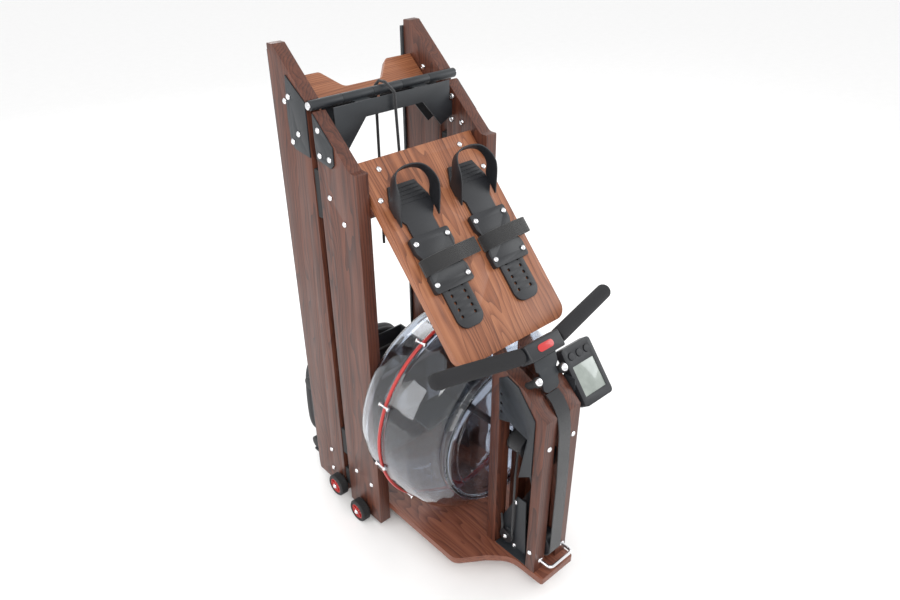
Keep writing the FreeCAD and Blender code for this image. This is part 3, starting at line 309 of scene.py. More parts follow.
TYRE = plain("tyre_black", (0.010, 0.010, 0.011), 0.62, 0.0, 900, 0.2)
HUB = plain("hub_red", (0.42, 0.022, 0.020), 0.38, 0.0, 900, 0.06, 0.3)
SEAL = plain("seal_red", (0.42, 0.022, 0.018), 0.40, 0.0, 600, 0.06, 0.3, 0.12)
BADGE = plain("badge_red", (0.50, 0.020, 0.020), 0.30, 0.0, 600, 0.04, 0.4, 0.1)
TAPE = webbing("strap_webbing", (0.022, 0.023, 0.026), 260, "Z")
FOOT_TAPE = webbing("foot_webbing", (0.011, 0.011, 0.012), 240, "X")
CORD = webbing("cord_braid", (0.020, 0.021, 0.024), 420, "DIAGONAL")


def clear_plastic():
    """Blown clear plastic: thin smoky tint, faint mould ripple, slight haze."""
    p = Paint("clear_tank")
    marks = p.group(MARKS, Vector=p.where, Size=6.0)
    p.set(Base_Color=p.ramp(marks.outputs["Smudge"],
                            [(0.2, (0.54, 0.59, 0.67)), (0.8, (0.74, 0.78, 0.85))]),
          IOR=1.42, Transmission_Weight=1.0, Coat_Weight=0.5, Coat_Roughness=0.02)
    p.set(Roughness=p.math("MULTIPLY", marks.outputs["Smudge"], 0.10))
    p.bump(p.noise(p.where, 7.0, 2), 0.35, 0.006)
    return p.mat


def display():
    """Reflective grey-green panel, slightly uneven in tone."""
    p = Paint("display_panel")
    marks = p.group(MARKS, Vector=p.where, Size=30.0)
    p.set(Base_Color=p.ramp(marks.outputs["Smudge"],
                            [(0.2, (0.20, 0.23, 0.21)), (0.8, (0.36, 0.40, 0.37))]),
          Roughness=0.22, Coat_Weight=1.0, Coat_Roughness=0.03)
    return p.mat


def leather():
    """Grained black cover of the seat."""
    p = Paint("seat_leather")
    cells = p.add("ShaderNodeTexVoronoi", feature="DISTANCE_TO_EDGE")
    cells.inputs["Scale"].default_value = 420
    p.tree.links.new(p.where, cells.inputs["Vector"])
    marks = p.group(MARKS, Vector=p.where, Size=9.0)
    p.set(Base_Color=p.ramp(marks.outputs["Smudge"],
                            [(0.2, (0.010, 0.010, 0.012)), (0.8, (0.022, 0.022, 0.025))]))
    p.set(Roughness=p.math("ADD", 0.46, p.math("MULTIPLY", marks.outputs["Smudge"], 0.16)))
    p.bump(cells.outputs["Distance"], 0.35, 0.0008)
    return p.mat


CLEAR, PANEL, LEATHER = clear_plastic(), display(), leather()


# ------------------------------------------------------------------ mesh helpers
def settle(obj, body, *nodes, slot=None):
    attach(obj, body)
    if nodes:
        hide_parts(*nodes)
    return obj


def from_mesh(name, mesh, material, smooth=True):
    obj = bpy.data.objects.new(name, mesh)
    while mesh.materials:
        mesh.materials.pop()
    for item in material if isinstance(material, (list, tuple)) else [material]:
        mesh.materials.append(item)
    for face in mesh.polygons:
        face.use_smooth = smooth
    link(obj)
    return obj


def from_bm(name, bm, material, smooth=True):
    bmesh.ops.recalc_face_normals(bm, faces=bm.faces)
    mesh = bpy.data.meshes.new(name)
    bm.to_mesh(mesh)
    bm.free()
    return from_mesh(name, mesh, material, smooth)


def baked(obj):
    """Apply the live modifiers into the mesh."""
    graph = bpy.context.evaluated_depsgraph_get()
    mesh = bpy.data.meshes.new_from_object(obj.evaluated_get(graph))
    obj.modifiers.clear()
    obj.data = mesh
    return obj


def sharp_shade(obj, angle=32):
    obj.data.set_sharp_from_angle(angle=math.radians(angle))
    return obj


def eased(obj, width, segments=3, angle=28, shade=40):
    """Round the edges sharper than the angle and shade the rest smooth."""
    ease = obj.modifiers.new("ease", "BEVEL")
    ease.width, ease.segments, ease.limit_method = width, segments, "ANGLE"
    ease.angle_limit = math.radians(angle)
    ease.use_clamp_overlap = True
    baked(obj)
    for face in obj.data.polygons:
        face.use_smooth = True
    return sharp_shade(obj, shade)


def softened(node, width=0.0012, segments=2, material=None):
    """A CAD node again with eased edges, standing for the node."""
    bm = bmesh.new()
    bm.from_mesh(NODES[node].data)
    bmesh.ops.remove_doubles(bm, verts=bm.verts, dist=1e-6)
    bmesh.ops.dissolve_limit(bm, angle_limit=math.radians(0.6), verts=bm.verts, edges=bm.edges)
    obj = eased(from_bm(node + "_eased", bm, material, True), width, segments)
    for face in obj.data.polygons:
        face.use_smooth = len(face.vertices) <= 4
    return settle(sharp_shade(obj, 40), BODY[node], node)


def lathe(bm, profile, place, segments=96, closed=True):
    """Turn (radius, height) points about the local Z axis of a placement into bm."""
    rings = []
    for radius, height in profile:
        if radius < 1e-7:
            rings.append([bm.verts.new(place @ Vector((0, 0, height)))])
            continue
        rings.append([bm.verts.new(place @ Vector((
            radius * math.cos(2 * math.pi * k / segments), radius * math.sin(2 * math.pi * k / segments),
            height))) for k in range(segments)])
    pairs = list(zip(rings, rings[1:])) + ([(rings[-1], rings[0])] if closed else [])
    faces = []
    for a, b in pairs:
        for k in range(segments):
            n = (k + 1) % segments
            if len(a) == 1 and len(b) == 1:
                continue
            if len(a) == 1:
                faces.append(bm.faces.new((a[0], b[k], b[n])))
            elif len(b) == 1:
                faces.append(bm.faces.new((a[k], b[0], a[n])))
            else:
                faces.append(bm.faces.new((a[k], b[k], b[n], a[n])))
    return faces


def skin(bm, rows):
    """Quads between closed rings of equal count, and a cap at each end."""
    count = len(rows[0])
    for a, b in zip(rows, rows[1:]):
        for k in range(count):
            n = (k + 1) % count
            bm.faces.new((a[k], a[n], b[n], b[k]))
    bm.faces.new(rows[0])
    bm.faces.new(rows[-1][::-1])


def rounded(profile, radius=0.002, steps=3):
    """Ease the corners of a profile of (radius, height) points."""
    out, count = [], len(profile)
    for k, point in enumerate(profile):
        here = Vector(point)
        before, after = Vector(profile[k - 1]), Vector(profile[(k + 1) % count])
        reach = min(radius, (before - here).length * 0.4, (after - here).length * 0.4)
        if here.x < 1e-7 or reach < 1e-6:
            out.append(tuple(here))
            continue
        a, b = here + (before - here).normalized() * reach, here + (after - here).normalized() * reach
        for s in range(steps + 1):
            t = s / steps
            out.append(tuple(a * (1 - t) ** 2 + here * 2 * t * (1 - t) + b * t * t))
    return out


def along(axis, centre):
    """Placement whose local Z runs along the given axis."""
    turn = Vector((0, 0, 1)).rotation_difference(Vector(axis).normalized()).to_matrix().to_4x4()
    return Matrix.Translation(centre) @ turn


def slope_place(angle, origin):
    return Matrix.Translation(origin) @ Matrix.Rotation(math.radians(angle), 4, "X")


def centre_of(node):
    lo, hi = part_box(node)
    return (Vector(lo) + Vector(hi)) / 2


# ------------------------------------------------------------------ boards, plates and blocks
for name, material in WOODS.items():
    softened(name, 0.0016 if name != "footboard" else 0.0022, 3, material)
for name in ("side_plates", "base_bracket", "front_hinge_leaf", "rear_hinge_leaf", "front_cheeks",
             "rear_cheeks", "drum_bearing", "monitor_bracket", "seat_carriage",
             "seat_tracks", "seat_stops"):
    softened(name, 0.0006, 2, STEEL)
for name in ("front_feet", "rear_feet"):
    softened(name, 0.0015, 3, RUBBER)
for name in ("hinge_pin", "tow_handle", "tank_clamps"):
    softened(name, 0.0005, 2, CHROME)
for name in ("foot_bases", "strap_drum", "strap_pulley", "guide_pulley", "impeller"):
    softened(name, 0.0008, 2, PLASTIC)
softened("monitor_housing", 0.0016, 3, PLASTIC)
softened("monitor_screen", 0.0004, 2, PANEL)
softened("shock_cord", 0.0002, 1, CORD)
for name in ("button_left", "button_middle", "button_right"):
    softened(name, 0.0006, 2, PLASTIC)
for name in ("seat_rollers_front", "seat_rollers_rear"):
    softened(name, 0.0008, 2, TYRE)


# ------------------------------------------------------------------ outlines and flat pieces
def prism(bm, outline, low, high, place):
    """Flat piece: outline in the placement's XY plane, from low to high."""
    bottom = [bm.verts.new(place @ Vector((x, y, low))) for x, y in outline]
    top = [bm.verts.new(place @ Vector((x, y, high))) for x, y in outline]
    skin(bm, [bottom, top])


def arc(x, y, radius, start, end, steps=10):
    """Points of an arc, from one angle to another in degrees."""
    turns = [math.radians(start + (end - start) * k / steps) for k in range(steps + 1)]
    return [(x + radius * math.cos(a), y + radius * math.sin(a)) for a in turns]


def rounded_box(half_x, half_y, radius, steps=6):
    a, b = half_x - radius, half_y - radius
    return (arc(a, b, radius, 0, 90, steps) + arc(-a, b, radius, 90, 180, steps)
            + arc(-a, -b, radius, 180, 270, steps) + arc(a, -b, radius, 270, 360, steps))


# ------------------------------------------------------------------ sliding heel cups
BOARD = slope_place(SLOPE, BOARD_START)
TONGUE = [(0.034, -0.066), (-0.034, -0.066), (-0.050, -0.104), (-0.050, -0.128), (-0.034, -0.150)]
TONGUE += arc(-0.010, -0.364, 0.024, 180, 270) + arc(0.010, -0.364, 0.024, 270, 360)
TONGUE += [(0.034, -0.150), (0.050, -0.128), (0.050, -0.104)]
HALF_LOOP = [  # across, along the board, lower edge, upper edge
    (-0.0495, -0.152, 0.0060, 0.0085), (-0.0500, -0.140, 0.0060, 0.0200),
    (-0.0505, -0.126, 0.0060, 0.0340), (-0.0510, -0.112, 0.0060, 0.0460),
    (-0.0512, -0.102, 0.0100, 0.0520), (-0.0505, -0.092, 0.0230, 0.0550),
    (-0.0480, -0.080, 0.0310, 0.0560), (-0.0420, -0.067, 0.0355, 0.0560),
    (-0.0320, -0.057, 0.0380, 0.0560), (-0.0170, -0.0515, 0.0395, 0.0560),
    (0.0, -0.0500, 0.0400, 0.0560)]
LOOP = HALF_LOOP + [(-x, y, low, high) for x, y, low, high in reversed(HALF_LOOP[:-1])]


def flat_plate(name, middle, outline, holes, low, high, place, material):
    """Plate with round holes, its edges eased, from a filled 2D curve."""
    data = bpy.data.curves.new(name, "CURVE")
    data.dimensions, data.fill_mode = "2D", "BOTH"
    data.extrude, data.bevel_depth, data.bevel_resolution = (high - low) / 2 - 0.0007, 0.0007, 2
    data.offset = -0.0007
    for ring in [outline] + holes:
        line = data.splines.new("POLY")
        line.points.add(len(ring) - 1)
        for point, (x, y) in zip(line.points, ring):
            point.co = (x + middle, y, 0, 1)
        line.use_cyclic_u = True
    curve = bpy.data.objects.new(name + "_curve", data)
    link(curve)
    bpy.context.view_layer.update()
    shape = bpy.data.meshes.new_from_object(curve.evaluated_get(bpy.context.evaluated_depsgraph_get()))
    bpy.data.objects.remove(curve)
    shape.transform(place @ Matrix.Translation((0, 0, (low + high) / 2)))
    bm = bmesh.new()
    bm.from_mesh(shape)
    bmesh.ops.remove_doubles(bm, verts=bm.verts, dist=1e-6)
    return from_bm(name, bm, material)


def smooth_stations(rows, steps=4):
    """More stations along a row of points, through each of them (Catmull-Rom)."""
    out = []
    for k in range(len(rows) - 1):
        a, b, c, d = (Vector(rows[min(max(k + i, 0), len(rows) - 1)]) for i in (-1, 0, 1, 2))
        for step in range(steps):
            t = step / steps
            out.append(0.5 * (2 * b + (c - a) * t + (2 * a - 5 * b + 4 * c - d) * t * t
                              + (3 * b - a - 3 * c + d) * t ** 3))
    return out + [Vector(rows[-1])]


def heel_loop(name, middle, place):
    """Upright band round the heel that runs down to both sides of the slide."""
    stations = smooth_stations(LOOP)
    bm = bmesh.new()
    rows = []
    for k, (x, y, low, high) in enumerate(stations):
        before, after = stations[max(k - 1, 0)], stations[min(k + 1, len(stations) - 1)]
        way = Vector((after[0] - before[0], after[1] - before[1])).normalized() * 0.0015
        low, high = max(low, 0.0055), max(high, low + 0.002)
        rows.append([bm.verts.new(place @ Vector((middle + x + side * way.y, y - side * way.x, z)))
                     for side, z in ((-1, low), (1, low), (1, high), (-1, high))])
    skin(bm, rows)
    return eased(from_bm(name, bm, PLASTIC), 0.0006, 2, 50, 35)


for middle, side in ((-FOOT_SPREAD, "left"), (FOOT_SPREAD, "right")):
    body = "foot_slider_" + side
    holes = [arc(x, -0.285 - 0.0154 * k, 0.0035, 0, 340, 17)
             for x in (-0.0175, 0.0175) for k in range(6)]
    plate = flat_plate("heel_slide_" + side, middle, TONGUE, holes, 0.0005, 0.0065, BOARD, PLASTIC)
    sharp_shade(plate, 30)
    settle(plate, body, body)
    settle(heel_loop("heel_loop_" + side, middle, BOARD), body)
    bm = bmesh.new()
    for k in range(5):
        y, half, rib = -0.074 - 0.0085 * k, 0.034 + 0.0032 * k, 0.0008
        prism(bm, [(middle - half, y - rib), (middle + half, y - rib), (middle + half, y + rib),
                   (middle - half, y + rib)], 0.0055, 0.0078, BOARD)
    settle(from_bm("heel_ribs_" + side, bm, PLASTIC, False), body)

# ------------------------------------------------------------------ handle
GRIP = slope_place(SLOPE, HANDLE_START)
grip_ends = [[Vector((side * x, y, z)) for x, y, z in (GRIP_ROOT, GRIP_TIP)] for side in (-1, 1)]
bm = bmesh.new()
prism(bm, rounded_box(0.0495, 0.0185, 0.004), -0.0185, 0.0185, GRIP)
block = eased(from_bm("handle_block", bm, PLASTIC), 0.0045, 4)
bm = bmesh.new()
for root, tip in grip_ends:
    length = (tip - root).length - 0.007
    lathe(bm, [(0, 0), (0.011, 0), (0.011, length), (0, length)], along(tip - root, root), 32, False)
bars = from_bm("handle_tubes", bm, PLASTIC)
sharp_shade(bars)
bm = bmesh.new()
prism(bm, rounded_box(0.0220, 0.0078, 0.0076, 8), 0.0183, 0.0197, GRIP)
badge = eased(from_bm("handle_badge", bm, BADGE), 0.0005, 2)
settle(block, "handle", "handle_bar")
settle(bars, "handle")
settle(badge, "handle", slot="red_seal")
for (root, tip), name in zip(grip_ends, ("left", "right")):
    length = (tip - root).length
    profile = [(0.0112, 0.0135), (0.0158, 0.0135), (0.0168, 0.0160), (0.0170, 0.030)]
    profile += [(0.0170, 0.030 + (length - 0.058) * k / 12) for k in range(1, 13)]
    profile += [(0.0170 * math.cos(a), length - 0.0148 + 0.0144 * math.sin(a))
                for a in (math.radians(9 * k) for k in range(1, 10))]
    profile += [(0, length - 0.0004), (0, length - 0.006), (0.0112, length - 0.006)]
    bm = bmesh.new()
    lathe(bm, profile, along(tip - root, root), 48)
    grip = from_bm("handle_grip_" + name, bm, FOAM)
    settle(grip, "handle", *(["handle_grips"] if name == "left" else []))

YOKE = slope_place(70, (0, -0.474, 0.622))
bm = bmesh.new()
left = [(-0.031, 0.0), (-0.031, -0.022)] + arc(-0.038, -0.0345, 0.0142, 62, -50, 8)
left += [(-0.0225, -0.052)] + arc(-0.0095, -0.0612, 0.0135, 190, 265, 6)
outline = left + [(-x, y) for x, y in reversed(left)]
prism(bm, outline, -0.0020, 0.0020, YOKE)
yoke = eased(from_bm("handle_yoke_plate", bm, STEEL), 0.0008, 2)
settle(yoke, "handle", "handle_yoke")

# ------------------------------------------------------------------ pegs that carry the handle
peg_way = Vector((0, -math.sin(math.radians(SLOPE)), math.cos(math.radians(SLOPE))))
PEG_STEM = [(0, -0.004), (0.0079, -0.004), (0.0079, 0.029), (0.0108, 0.030), (0.0108, 0.0378),
            (0, 0.0378)]
PEG_SCREW = [(0, 0.0370), (0.0088, 0.0370), (0.0089, 0.0384), (0.0080, 0.0404), (0.0062, 0.0418),
             (0.0036, 0.0420), (0.0034, 0.0398), (0, 0.0398)]
bm = bmesh.new()
for x in (-0.038, 0.038):
    where = along(peg_way, (x, -0.468, SHOULDER + 0.052))
    lathe(bm, rounded(PEG_STEM, 0.0012, 3), where, 40, False)
    for face in lathe(bm, PEG_SCREW, where, 40, False):
        face.material_index = 1
pegs = from_bm("handle_rest_pegs", bm, [RUBBER, CHROME])
sharp_shade(pegs, 35)
settle(pegs, "front_frame", "handle_pegs")

# ------------------------------------------------------------------ tank
SEAM, TALL = -0.238, 0.371
tank_place = along((0, -1, 0), (0, SEAM, TALL))


def shell(name, outer, inner, material, body, *nodes):
    bm = bmesh.new()
    lathe(bm, rounded(outer + inner[::-1], 0.006, 4), tank_place, 128)
    return settle(from_bm(name, bm, material), body, *nodes)


UPPER = [(0.2492, 0.002), (0.2478, 0.010), (0.2446, 0.040), (0.2368, 0.078), (0.2218, 0.102),
         (0.1972, 0.118), (0.1765, 0.1222), (0.1760, 0.1358)]
UPPER_IN = [(0.2412, 0.0022), (0.2432, 0.012), (0.2402, 0.039), (0.2326, 0.075), (0.2186, 0.098),
            (0.1955, 0.1142), (0.1712, 0.1186), (0.1712, 0.1356)]
LOWER = [(0.2492, -0.002), (0.2482, -0.012), (0.2452, -0.052), (0.2352, -0.082), (0.2152, -0.0955),
         (0.1990, -0.0988), (0.0900, -0.0988)]
LOWER_IN = [(0.2412, -0.0022), (0.2436, -0.013), (0.2408, -0.050), (0.2316, -0.078), (0.2126, -0.0912),
            (0.1980, -0.0948), (0.0900, -0.0948)]
shell("tank_upper_clear", UPPER, UPPER_IN, CLEAR, "front_frame", "tank_upper_bowl")
bm = bmesh.new()
lathe(bm, rounded(LOWER + [(0, -0.0988), (0, -0.0948)] + LOWER_IN[::-1], 0.005, 4), tank_place, 128)
settle(from_bm("tank_lower_clear", bm, CLEAR), "front_frame", "tank_lower_bowl")
bm = bmesh.new()
lathe(bm, rounded([(0.2425, -0.0019), (0.2515, -0.0045), (0.2535, 0), (0.2515, 0.0045),
                   (0.2425, 0.0019)], 0.001, 3), tank_place, 160)
settle(from_bm("tank_seal_red", bm, SEAL), "front_frame", "tank_seal_ring")
bm = bmesh.new()
lathe(bm, rounded([(0.00806, 0.1302), (0.168, 0.1302), (0.1698, 0.1364), (0.1788, 0.1364),
                   (0.1788, 0.1408), (0.150, 0.1412), (0.146, 0.1396), (0.060, 0.1396),
                   (0.056, 0.1418), (0.018, 0.1425), (0.0178, 0.1498), (0.00806, 0.1498)],
                  0.0015, 3), tank_place, 128)
settle(from_bm("tank_lid_clear", bm, CLEAR), "front_frame", "tank_lid")

# ------------------------------------------------------------------ wheels
for node in ("front_wheel_left", "front_wheel_right", "rear_wheel_left", "rear_wheel_right"):
    outward = -1 if node.endswith("left") else 1
    where = along((outward, 0, 0), centre_of(node))
    bm = bmesh.new()
    tread = [(0.0212, -0.0124), (0.0262, -0.0124), (0.0300, -0.0090)]
    for k in range(5):
        z = -0.0072 + k * 0.0036
        tread += [(0.0300, z - 0.0010), (0.0293, z - 0.0006), (0.0293, z + 0.0006), (0.0300, z + 0.0010)]
    tread += [(0.0300, 0.0090), (0.0262, 0.0124), (0.0212, 0.0124)]
    for face in lathe(bm, tread, where, 64):
        face.material_index = 0
    hub = rounded([(0.00346, -0.0118), (0.0208, -0.0118), (0.0208, 0.0112), (0.0186, 0.0116),
                   (0.0176, 0.0070), (0.0096, 0.0070), (0.0088, 0.0118), (0.00346, 0.0118)], 0.0008, 2)
    for face in lathe(bm, hub, where, 48):
        face.material_index = 1
    for k in range(5):
        turn = Matrix.Rotation(2 * math.pi * k / 5, 4, "Z") @ Matrix.Translation((0.0136, 0, 0.0080))
        spoke = where @ turn @ Matrix.Diagonal((0.0086, 0.0030, 0.0048, 1))
        made = bmesh.ops.create_cube(bm, size=1, matrix=spoke)
        for face in {f for v in made["verts"] for f in v.link_faces}:
            face.material_index = 1
    obj = from_bm(node + "_rolled", bm, [TYRE, HUB])
    sharp_shade(obj, 35)
    settle(obj, node, node)

# ------------------------------------------------------------------ seat cushion
def cushion():
    """Crowned pad with a seam round its side and a shallow dip along the middle."""
    lo, hi = (Vector(v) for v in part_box("seat_pad"))
    mid = (lo + hi) / 2
    half = (hi - lo) / 2
    bm = bmesh.new()
    across, power = 96, 0.42
    layers = []
    profile = [(0.0, -1.0), (0.5, -1.0), (0.86, -1.0), (0.955, -0.93), (0.985, -0.72), (0.965, -0.45),
               (0.985, -0.40), (1.0, -0.05), (0.995, 0.30), (0.965, 0.58), (0.91, 0.78), (0.80, 0.90),
               (0.66, 0.955), (0.45, 0.985), (0.22, 0.96), (0.0, 0.93)]
    for s, h in profile:
        ring = []
        for k in range(across):
            a = 2 * math.pi * k / across
            c, d = math.cos(a), math.sin(a)
            x = math.copysign(abs(c) ** power, c)
            z = math.copysign(abs(d) ** power, d)
            waist = 1 - 0.05 * (z > 0) * z
            dip = 0.10 * math.exp(-((x * s) / 0.22) ** 2) * (h > 0.4) * s * (1 - s * 0.2)
            y = h - dip * (0.5 + 0.5 * abs(z))
            ring.append(bm.verts.new(mid + Vector((x * s * half.x * waist * 0.99, y * half.y * 0.985,
                                                   z * s * half.z * 0.99))))
            if s == 0:
                break
        layers.append(ring)
    for a, b in zip(layers, layers[1:]):
        for k in range(across):
            n = (k + 1) % across
            if len(a) == 1:
                bm.faces.new((a[0], b[k], b[n]))
            elif len(b) == 1:
                bm.faces.new((a[k], b[0], a[n]))
            else:
                bm.faces.new((a[k], b[k], b[n], a[n]))
    pad = from_bm("seat_cushion", bm, LEATHER)
    smooth = pad.modifiers.new("smooth", "SUBSURF")
    smooth.levels = smooth.render_levels = 1
    baked(pad)
    for face in pad.data.polygons:
        face.use_smooth = True
    settle(pad, "seat", "seat_pad")


cushion()


# ------------------------------------------------------------------ bolts by geometry nodes
def bolt_tree():
    """Puts one turned dome bolt on every point, facing along the point's own direction."""
    tree = bpy.data.node_groups.new("bolt_rows", "GeometryNodeTree")
    face = tree.interface
    face.new_socket("Geometry", in_out="INPUT", socket_type="NodeSocketGeometry")
    face.new_socket("Bolt", in_out="INPUT", socket_type="NodeSocketObject")
    face.new_socket("Material", in_out="INPUT", socket_type="NodeSocketMaterial")
    face.new_socket("Geometry", in_out="OUTPUT", socket_type="NodeSocketGeometry")
    add = tree.nodes.new
    given, out = add("NodeGroupInput"), add("NodeGroupOutput")
    shape, spread = add("GeometryNodeObjectInfo"), add("GeometryNodeInstanceOnPoints")
    way, turn = add("GeometryNodeInputNamedAttribute"), add("FunctionNodeAlignRotationToVector")
    real, paint = add("GeometryNodeRealizeInstances"), add("GeometryNodeSetMaterial")
    way.data_type = "FLOAT_VECTOR"
    way.inputs["Name"].default_value = "way"
    turn.axis = "Z"
    join = tree.links.new
    join(given.outputs["Geometry"], spread.inputs["Points"])
    join(given.outputs["Bolt"], shape.inputs["Object"])
    join(shape.outputs["Geometry"], spread.inputs["Instance"])
    join(way.outputs["Attribute"], turn.inputs["Vector"])
    join(turn.outputs["Rotation"], spread.inputs["Rotation"])
    join(spread.outputs["Instances"], real.inputs["Geometry"])
    join(real.outputs["Geometry"], paint.inputs["Geometry"])
    join(given.outputs["Material"], paint.inputs["Material"])
    join(paint.outputs["Geometry"], out.inputs["Geometry"])
    return tree


def bolt_head():
    """Dome head with a hex socket and a stub of shank, its seat at the local origin."""
    bm = bmesh.new()
    lathe(bm, [(0, -0.004), (0.0030, -0.004), (0.0032, 0.0), (0.0064, 0.0), (0.0065, 0.0007),
               (0.0058, 0.0022), (0.0047, 0.0033), (0.0034, 0.0039), (0.0023, 0.0042),
               (0.0021, 0.0042), (0.0019, 0.0026), (0, 0.0026)], Matrix.Identity(4), 24, False)
    return from_bm("bolt_master", bm, CHROME)


MASTER = bolt_head()
TREE = bolt_tree()


def bolts(name, body, seats, *nodes):
    mesh = bpy.data.meshes.new(name)
    mesh.from_pydata([s for s, _ in seats], [], [])
    way = mesh.attributes.new("way", "FLOAT_VECTOR", "POINT")
    for k, (_, direction) in enumerate(seats):
        way.data[k].vector = direction
    obj = bpy.data.objects.new(name, mesh)
    link(obj)
    rows = obj.modifiers.new("rows", "NODES")
    rows.node_group = TREE
    for item in TREE.interface.items_tree:
        if item.in_out == "INPUT" and item.name == "Bolt":
            rows[item.identifier] = MASTER
        if item.in_out == "INPUT" and item.name == "Material":
            rows[item.identifier] = CHROME
    bpy.context.view_layer.update()
    baked(obj)
    for face in obj.data.polygons:
        face.use_smooth = True
    return settle(obj, body, *nodes)


HALF, THICK, PLATE, P = 0.190, 0.030, 0.003, HINGE
FRONT = [(-0.028, P - 0.041, 1), (-0.027, P - 0.092, 1), (-0.060, P - 0.092, 1), (-0.045, P - 0.176, 0),
         (-0.089, P - 0.220, 0), (-0.048, 0.140, 0), (-0.109, 0.134, 0)]
REAR = [(0.068, P + 0.005, 1), (0.088, P - 0.008, 0), (0.044, P - 0.065, 1), (0.068, P - 0.086, 1),
        (0.063, 0.140, 0), (0.064, 0.075, 0)]


def rail_seats(rows, blind=()):
    seats = []
    for k, (y, z, plated) in enumerate(rows):
        for side in (-1, 1):
            seats.append(((side * (HALF + PLATE * plated), y, z), (side, 0, 0)))
            if k not in blind:
                seats.append(((side * (HALF - THICK), y, z), (-side, 0, 0)))
    return seats


front_seats = rail_seats(FRONT)
for side in (-1, 1):
    front_seats += [((side * 0.2183, -0.071, 0.030), (side, 0, 0)),
                    ((side * 0.160, -0.071, 0.030), (-side, 0, 0)),
                    ((side * 0.054, -0.519, 0.130), (side, 0, 0))]
out = BOARD.to_3x3() @ Vector((0, 0, 1))
for x, y in ((-0.110, -0.024), (0.110, -0.024), (-0.141, -0.086), (0.141, -0.086)):
    front_seats += [(BOARD @ Vector((x, y, 0)), out), (BOARD @ Vector((x, y, -0.036)), -out)]
for x in (-FOOT_SPREAD, FOOT_SPREAD):
    for dx in (-0.041, 0.041):
        front_seats += [(BOARD @ Vector((x + dx, y, 0.012)), out) for y in (-0.195, -0.285)]
for y, z in ((-0.448, 0.219), (-0.452, 0.080)):
    front_seats.append(((-0.0301, y, z), (-1, 0, 0)))
front_seats += [((side * 0.037, -0.5351, 0.439), (0, -1, 0)) for side in (-1, 1)]
front_seats.append(((-0.0422, -0.432, 0.104), (-1, 0, 0)))
bolts("front_dome_bolts", "front_frame", front_seats, "front_bolts")
rear_seats = rail_seats(REAR, (1,))
for side in (-1, 1):
    rear_seats += [((side * 0.2183, 0.022, 0.054), (side, 0, 0)),
                   ((side * 0.160, 0.022, 0.054), (-side, 0, 0))]
    rear_seats += [((side * 0.178, 0.1411, z), (0, 1, 0)) for z in (0.120, 0.600, P + 0.070)]
bolts("rear_dome_bolts", "rear_frame", rear_seats, "rear_bolts")
bpy.data.objects.remove(MASTER)


# ------------------------------------------------------------------ drive strap
def ribbon(name, path, width, thick, material):
    """Flat tape along a path of (centre, across) pairs."""
    bm = bmesh.new()
    rows = []
    for k, (centre, across) in enumerate(path):
        centre, across = Vector(centre), Vector(across).normalized()
        nxt = Vector(path[min(k + 1, len(path) - 1)][0]) - Vector(path[max(k - 1, 0)][0])
        normal = nxt.cross(across).normalized() * thick / 2
        side = across * width / 2
        inset = across * (width / 2 - thick * 0.4)
        rows.append([bm.verts.new(centre + v) for v in (
            -side, -inset + normal, inset + normal, side, inset - normal, -inset - normal)])
    skin(bm, rows)
    return sharp_shade(from_bm(name, bm, material), 50)


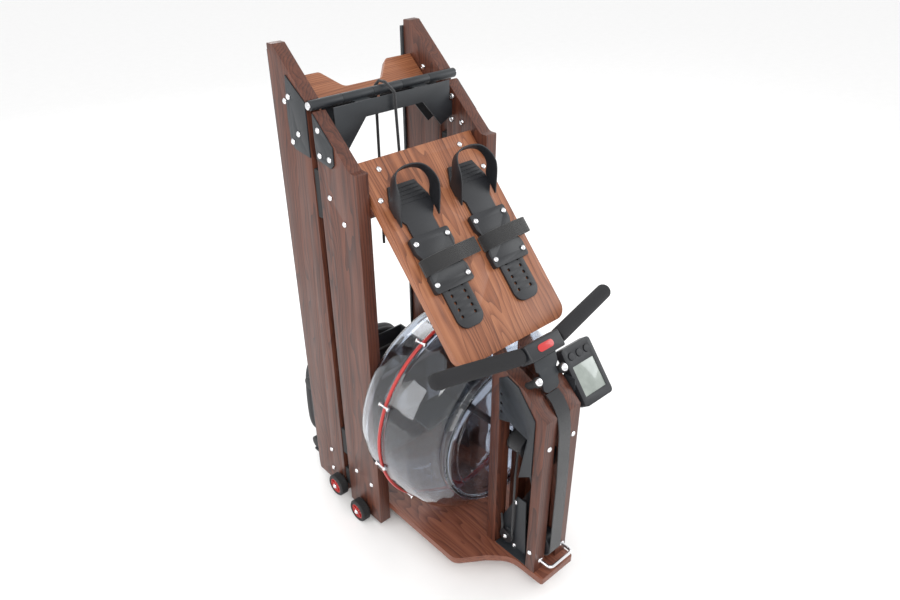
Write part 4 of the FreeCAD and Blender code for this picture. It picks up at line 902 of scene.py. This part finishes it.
def strap_path():
    """Stowed run: handle, shoulder, down to the pulley, twisted up to the drum, one turn on it."""
    shoulder, r = SHOULDER, 0.0287
    cy, cz = -0.519, 0.130
    line = [(-0.500, shoulder + 0.038), (-0.5085, shoulder + 0.032), (-0.517, shoulder + 0.026),
            (-0.526, shoulder + 0.0140), (-0.534, shoulder + 0.001), (-0.5385, shoulder - 0.018),
            (-0.542, shoulder - 0.040)]
    steps = 14
    line += [(-0.542 + (cy - r + 0.542) * k / steps, shoulder - 0.040 - 0.120 * k / steps)
             for k in range(1, steps + 1)]
    low = shoulder - 0.160
    line += [(cy - r, low + (cz - low) * k / steps) for k in range(1, steps + 1)]
    line += [(cy - r * math.cos(math.radians(a)), cz - r * math.sin(math.radians(a)))
             for a in range(8, 181, 8)]
    path = [((0, y, z), (1, 0, 0)) for y, z in line]
    path += [((0, cy + r, 0.130 + 0.035 * k / 4), (1, 0, 0)) for k in range(1, 5)]
    drum, coil = -0.4315, 0.0256
    start, end = Vector((0, cy + r, 0.165)), Vector((coil, drum, TALL - 0.070))
    for k in range(1, 19):
        t = k / 18
        turn = math.pi / 2 * t
        path.append((start.lerp(end, t), (math.cos(turn), math.sin(turn), 0)))
    path += [((coil, drum, TALL - 0.070 + 0.070 * k / 6), (0, 1, 0)) for k in range(1, 7)]
    for k in range(1, 40):
        a = math.radians(9 * k)
        path.append(((coil * math.cos(a), drum, TALL + coil * math.sin(a)), (0, 1, 0)))
    return path


def bent(corners, steps=5):
    """Corners joined by short arcs."""
    out = [Vector(corners[0])]
    for before, here, after in zip(corners, corners[1:], corners[2:]):
        before, here, after = Vector(before), Vector(here), Vector(after)
        a, b = here.lerp(before, 0.42), here.lerp(after, 0.42)
        out += [a * (1 - t) ** 2 + here * 2 * t * (1 - t) + b * t * t
                for t in (k / steps for k in range(steps + 1))]
    return out + [Vector(corners[-1])]


LEFT_STRAP = [(-0.131, 0.0035), (-0.1335, 0.012), (-0.128, 0.022), (-0.108, 0.0275), (-0.081, 0.0295),
              (-0.052, 0.028), (-0.028, 0.023), (-0.008, 0.0195), (0.012, 0.0175)]
RIGHT_STRAP = [(0.0305, 0.0035), (0.0275, 0.012), (0.032, 0.022), (0.052, 0.0275), (0.081, 0.0295),
               (0.108, 0.029), (0.130, 0.026), (0.150, 0.0225), (0.1595, 0.0180), (0.1570, 0.0120),
               (0.146, 0.0115), (0.131, 0.0120)]
across_board = BOARD.to_3x3() @ Vector((0, 1, 0))
for name, corners, skew, nodes in (("foot_strap_left", LEFT_STRAP, 0.04, ["foot_straps"]),
                                   ("foot_strap_right", RIGHT_STRAP, 0.03, [])):
    centre = [BOARD @ Vector((spot.x, -0.2435 + (spot.x - corners[4][0]) * skew, spot.y))
              for spot in bent([(x, z, 0) for x, z in corners])]
    band = ribbon(name, [(spot, across_board) for spot in centre], 0.034, 0.0024, FOOT_TAPE)
    settle(band, "front_frame", *nodes)

strap = ribbon("drive_strap_woven", strap_path(), 0.0375, 0.0022, TAPE)
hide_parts("drive_strap")
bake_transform(strap)

# ------------------------------------------------------------------ floor and finish
bm = bmesh.new()
bmesh.ops.create_grid(bm, x_segments=8, y_segments=8, size=14)
floor = from_bm("floor", bm, plain("floor_paper", (0.93, 0.93, 0.93), 0.9, 0, 40, 0.01, spread=0.01))
for name, obj in NODES.items():
    if not obj.hide_render:
        print("still plain:", name)
